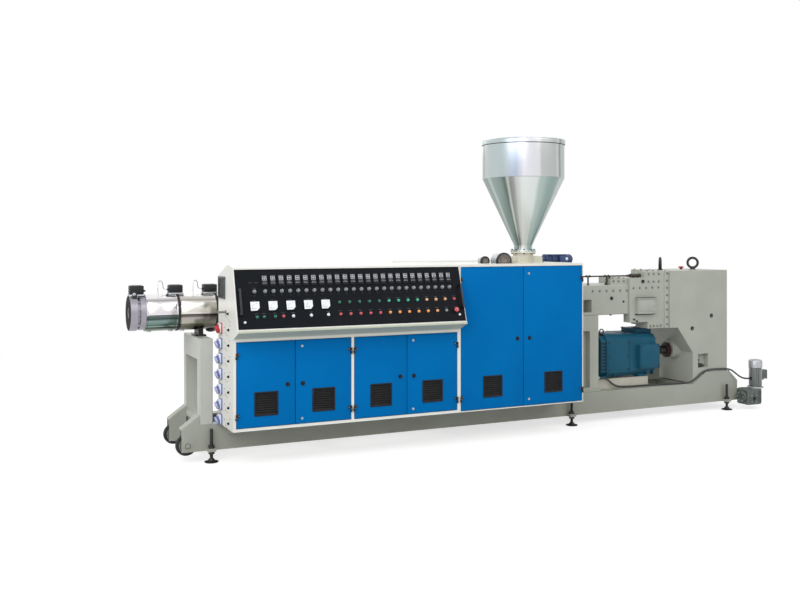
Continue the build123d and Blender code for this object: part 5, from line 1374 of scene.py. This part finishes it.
louvres = []
for i, z in enumerate(row(472.8, 31.67, 9)):
    # air slots of the left shield, front and back
    for side in mirrored:
        y = axisY + side * (half - 12)
        louvres.append(addBlock((x0 + 3, y - side * 2, z), (x1 - 2, y + side * 0.8, z + 16), 2))
        # shadow gap at the right-hand shield
        if i < 4:
            low = 480 + 60 * i
            louvres.append(addBlock((x2 + 14, y - side * 2, low), (x2 + 20, y + side * 0.6, low + 40), 1))
finish(louvres, "motor_air_slots", "blackPowderCoat")
screws = [(x, motor["frontY"] - 3, z) for x in (1324, 1552) for z in (474, 607, 740)]
rear = [(x, 2 * axisY - y, z) for x, y, z in screws]
screws += [(x, ty - 4, z) for x in (tx + 20, x3 - 20) for z in (tz0 + 20, tz1 - 20)]
lids = [(x, axisY + side * 108, 856) for x in (1735, 1904) for side in mirrored]
footBolts = [(x, axisY + side * 168, 412) for x in (1330, 1380, 1810, 1860) for side in mirrored]
bolts = placeCopies(addHexBolt(9, 8), footBolts, up)
for spots, way in ((screws, front), (rear, back), (lids, up)):
    bolts += placeCopies(addHexBolt(6, 5), spots, way)
finish(bolts, "motor_bolts", "blackenedSteel")
ring = addEye(24, 6, (1290, -60, 846), 0, (32, 12, 0.0))
stem = turnRound([(0, 0), (16, 0), (16, 4), (9, 8), (8, 14), (0, 16)], (1290, -60, 809), up, 20)
finish([ring, stem], "motor_eye", "blackenedSteel", smooth=50)

coupling = {"x": x3, "sealX": 2188.0, "bolts": (8, 68.0), "bossX": 2225.0, "bossBolts": (6, 80.0)}
coupled = [(0, 0), (56, 0), (58, 3), (58, 18), (80, 20), (80, 44), (76, 45), (76, 49), (80, 50), (80, 75)]
coupled += [(58, 77), (58, 97), (56, 100), (0, 100)]
shaft = [(0, 99), (42, 99), (42, 196), (41, 198), (41, 202), (42, 204), (42, 310), (0, 310)]
place = (coupling["x"], axisY, axisZ)
coupled, shaft = turnRound(coupled, place, right, 48), turnRound(shaft, place, right, 40)
finish([coupled], "coupling_turned", "darkRedPrimerDustAndShade", replaces="drive_coupling")
finish([shaft], "gearbox_input_shaft", "blackenedSteel")
# seal housing on the gearbox's input boss
seal = [(43, 0), (62, 0), (66, 3), (66, 10), (76, 13), (77, 16), (77, 30), (74, 34), (43, 34)]
seal = turnRound(seal, (coupling["sealX"], axisY, axisZ), right, 40, closed=True)
finish([seal], "input_seal_housing", "darkRedPrimerDustAndShade")
spots = [(coupling["x"] + 75, axisY + a, axisZ + b) for a, b in circle(*coupling["bolts"])]
finish(placeCopies(addHexBolt(8, 9), spots, right), "coupling_bolts", "blackenedSteel")
spots = [(coupling["bossX"], axisY + a, axisZ + b) for a, b in circle(*coupling["bossBolts"])]
finish(placeCopies(addHexBolt(7, 6), spots, left), "input_boss_bolts", "overpaintedBolt")
print("motor and coupling made")

gearmotor = {
    "x": 3085.0,
    "y": -297.5,
    "z": (211.0, 430.0, 502.0),
    "body": 58.0,
    "fin": 64.0,
    "cowl": 69.0,
    "fins": 22,
    "output": (2995.0, -367.5, 111.0),
    "input": (2877.0, 130.0),
}
gx, gy, (z0, z1, z2), body, cowl, fins = (gearmotor[key] for key in ("x", "y", "z", "body", "cowl", "fins"))
place = (gx, gy, 0)
cover = [(0, z1 - 8), (cowl, z1 - 8), (cowl, z2 - 16), (cowl - 4, z2 - 6), (cowl - 12, z2 - 1)]
cover += [(52, z2 - 0.5), (50, z2 - 4), (0, z2 - 4)]
silver = [
    turnRound([(0, z0), (80, z0), (80, z0 + 12), (77, z0 + 14), (0, z0 + 14)], place, up, 48),
    turnRound(cover, place, up, 64),
]
for k in range(fins):
    fin = addBlock((body - 2, -1.4, z0 + 28), (gearmotor["fin"] + 1, 1.4, z1 - 12), 0.7)
    silver.append(shift(fin, place, 2 * pi * k / fins))
for r in row(10, 7, 6):
    hoop = [(r, z2 - 4), (r + 3.2, z2 - 4), (r + 3.2, z2 - 1), (r, z2 - 1)]
    silver.append(turnRound(hoop, place, up, 36, closed=True))
for k in range(8):
    silver.append(shift(addBlock((8, -1.6, z2 - 3.8), (51, 1.6, z2 - 1.2), 0.5), place, k * pi / 4))
finish(silver, "gearmotor_finned_body", "dieCastAluminium", replaces="gearmotor_motor")
# the trunk between the fins is in the darker grey-green casting: painted shade between the fins
trunk = [(0, z0 + 14), (62, z0 + 14), (62, z0 + 26), (body, z0 + 30), (body, z1 - 14), (64, z1 - 12)]
darkParts = [
    turnRound(trunk + [(64, z1), (0, z1)], place, up, 48),
    addBlock((gx + 50, gy - 30, 300), (3215, gy + 30, 388), 4),
    addBlock((3206, gy - 32, 298), (3221, gy + 32, 392), 3),
    turnRound([(0, 0), (11, 0), (11, 12), (8, 15), (0, 15)], (3188, gy, 300), down, 6),
    turnRound([(0, 0), (body, 0), (body, 2), (0, 2)], (gx, gy, z2 - 7), up, 40),
]
finish(darkParts, "gearmotor_terminal_box", "greyGreenCasting")
gland = [(0, 0), (14, 0), (14, 10), (12, 13), (11, 20), (9, 24), (0, 24)]
gland = turnRound(gland, (gx - 60, gy, 311), left, 20)
finish([gland], "gearmotor_gland", "blackMouldedCase")
ox, oy, oz = gearmotor["output"]
ix, iz = gearmotor["input"]
lids = [(3220.5, gy + side * 24, z) for side in mirrored for z in (308, 382)]
bolts = placeCopies(addHexBolt(5, 4), lids, right)
for spots, way in (
    ([(gx + a, gy + b, z0 + 14) for a, b in circle(4, 68, pi / 4)], up),
    ([(ox + a, oy, oz + b) for a, b in circle(4, 46, pi / 4)], front),
    ([(ix, gy + a, iz + b) for a, b in circle(6, 44)], left),
):
    bolts += placeCopies(addHexBolt(6, 5), spots, way)
finish(bolts, "gearmotor_bolts", "zincPlate")
# output side: machined face ring, cooling ribs over the worm box
ring = [(40, 0), (55, 0), (55, 3), (51, 5), (40, 5)]
worm = [turnRound(ring, (ox, oy, oz), front, 36, closed=True)]
worm += [addBlock((x, -366, 206), (x + 4, -232, 214), 1.2) for x in row(2916, 12, 5)]
worm += [addBlock((x, -371, 70), (x + 4, -366, 190), 1.2) for x in row(3050, 14, 4)]
finish(worm, "worm_box_ribs", "greyGreenCasting")
bush = [(15.2, 1), (39, 1), (39, 4), (36, 5), (24, 5), (22, 8), (15.2, 8)]
bush = turnRound(bush, (ox, oy + 1.5, oz), front, 32, closed=True)
finish([bush], "worm_output_bush", "blackPowderCoat")

# ribbed conduit: lies along the near rail, over its raised end, and into the gearmotor's gland
conduit = {
    "route": [
        (1193.0, -147.5, 408.0), (1275.0, -147.5, 408.0), (1380.0, -143.5, 316.0), (1515.0, -139.5, 299.3),
        (1745.0, -144.5, 299.3), (2005.0, -169.5, 299.3), (2190.0, -199.5, 299.3), (2306.0, -221.5, 306.3),
        (2462.0, -221.5, 421.3), (2650.0, -223.5, 421.3), (2805.0, -222.5, 413.3), (2862.0, -246.0, 366.0),
        (2891.0, -275.5, 332.0), (2940.0, -297.5, 311.0), (3003.0, -297.5, 311.0),
    ],
    "radius": 9.0,
    "groove": 1.1,
    "rib": 7.0,  # real pitch is 3 mm: coarser, so that it shows
    "sides": 14,
}
route = [tuple(v / 1000 for v in spot) for spot in conduit["route"]]
line = makeLine(route, 24)
path = [v.co.copy() for v in bpy.data.meshes.new_from_object(line).vertices]
bpy.data.objects.remove(line)
lengths = [0.0]
for near, far in zip(path, path[1:]):
    lengths.append(lengths[-1] + (far - near).length)
print("conduit line is", round(lengths[-1], 4), "m")


def alongPath(distance):
    # point on the path and its heading at a distance from the start
    k = min(max(i for i in range(len(lengths)) if lengths[i] <= distance), len(path) - 2)
    share = (distance - lengths[k]) / max(1e-9, lengths[k + 1] - lengths[k])
    return path[k].lerp(path[k + 1], share), (path[k + 1] - path[k]).normalized()


sides = conduit["sides"]
count = int(lengths[-1] / (conduit["rib"] / 2000))
vertices, faces = [], []
for i in range(count + 1):
    spot, heading = alongPath(lengths[-1] * i / count)
    turn = heading.to_track_quat("Z", "Y")
    r = (conduit["radius"] - (0.0 if i % 2 else conduit["groove"])) / 1000
    vertices += [(spot + turn @ Vector((a, b, 0))) * 1000 for a, b in circle(sides, r)]
for i in range(count):
    for k in range(sides):
        a, b = i * sides + k, i * sides + (k + 1) % sides
        faces.append((a, b, b + sides, a + sides))
faces += [tuple(reversed(range(sides))), tuple(range(count * sides, (count + 1) * sides))]
mesh = bpy.data.meshes.new("hose")
mesh.from_pydata(vertices, [], faces)
hose = bpy.data.objects.new("hose", mesh)
bpy.context.collection.objects.link(hose)
hose = finish([hose], "cable_conduit_hose", "ribbedHose", "machine", 60, "cable_conduit")
gland = [(0, 0), (14, 0), (14, 8), (12, 11), (11.5, 19), (9, 22), (0, 22)]
gland = turnRound(gland, (1175, -147.5, 408), right, 20)
finish([gland], "column_gland", "blackMouldedCase")
print("gearmotor and conduit made")

studio = {
    "bounce": 0.5,  # what the floor gives back to the machine
    "shadow": 0.45,  # how strongly the lens sees light and shadow on the floor
    "glow": 0.68,  # the paper's own white around that shadow
    "fade": (4.2, 8.5),  # metres from the machine over which the floor turns plain white
    "sky": 0.45,
    # name: place, aimed at, size, watts
    "lamps": {
        "key": ((-9.0, -7.0, 7.5), (-0.5, 0.0, 0.8), 12.0, 1150),
        "fill": ((5.0, -9.0, 9.0), (0.8, 0.0, 0.8), 10.0, 470),
        "back": ((0.5, 8.0, 7.5), (0.0, 0.0, 1.0), 10.0, 280),
    },
}


def seenDirectly(tree):
    # 1 for the lens, mirrors and glass, 0 for the light that falls on the machine
    rays = addNode(tree, "LightPath").node.outputs
    seen = addMath(tree, "MAXIMUM", rays["Is Camera Ray"], rays["Is Glossy Ray"])
    return addMath(tree, "MAXIMUM", seen, rays["Is Transmission Ray"])


def grey(level):
    return (level, level, level, 1.0)


# seamless white paper: it keeps the machine's shadow and fades to plain white further out
paper = bpy.data.materials.new("studioFloor")
paper.use_nodes = True
tree = paper.node_tree
tree.nodes.clear()
middle = addNode(tree, "TexCoord", out="Object")
away = addNode(tree, "VectorMath", {"operation": "LENGTH", 0: middle}, "Value")
near, far = studio["fade"]
reach = {"interpolation_type": "SMOOTHSTEP", "From Min": near, "From Max": far, "Value": away}
fade = addNode(tree, "MapRange", reach)
bounce = addNode(tree, "BsdfDiffuse", {"Color": grey(studio["bounce"])})
sheet = addNode(tree, "BsdfDiffuse", {"Color": grey(studio["shadow"])})
glow = addNode(tree, "Emission", {"Color": grey(1.0), "Strength": studio["glow"]})
plain = addNode(tree, "Emission", {"Color": grey(1.0), "Strength": 1.0})
close = addNode(tree, "AddShader", {0: sheet, 1: glow})
shown = addNode(tree, "MixShader", {0: fade, 1: close, 2: plain})
both = addNode(tree, "MixShader", {0: seenDirectly(tree), 1: bounce, 2: shown})
addNode(tree, "OutputMaterial", {"Surface": both})
bpy.ops.mesh.primitive_plane_add(size=160, location=(0, 0, 0))
floor = bpy.context.object
floor.name = "studio_floor"
floor.data.materials.append(paper)
floor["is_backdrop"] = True

world = bpy.data.worlds.new("studio")
bpy.context.scene.world = world
world.use_nodes = True
tree = world.node_tree
tree.nodes.clear()
soft = addNode(tree, "Background", {"Color": grey(1.0), "Strength": studio["sky"]})
white = addNode(tree, "Background", {"Color": grey(1.0), "Strength": 1.0})
mixed = addNode(tree, "MixShader", {0: seenDirectly(tree), 1: soft, 2: white})
addNode(tree, "OutputWorld", {"Surface": mixed})

for name, (spot, aim, size, power) in studio["lamps"].items():
    bpy.ops.object.light_add(type="AREA", location=spot)
    lamp = bpy.context.object
    lamp.name = f"{name}_lamp"
    lamp.data.size = size
    lamp.data.energy = power
    lamp.rotation_euler = (Vector(aim) - Vector(spot)).to_track_quat("-Z", "Y").to_euler()

bpy.ops.object.camera_add(location=(-4.435, -7.5625, 1.75), rotation=(pi / 2, 0, radians(-25.2)))
camera = bpy.context.object
camera.data.lens = 42.12
camera.data.sensor_width = 36
camera.data.shift_y = -0.075
camera.data.clip_end = 200
bpy.context.scene.camera = camera
bpy.context.scene.view_settings.view_transform = "Standard"
print("studio set")

low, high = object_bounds()
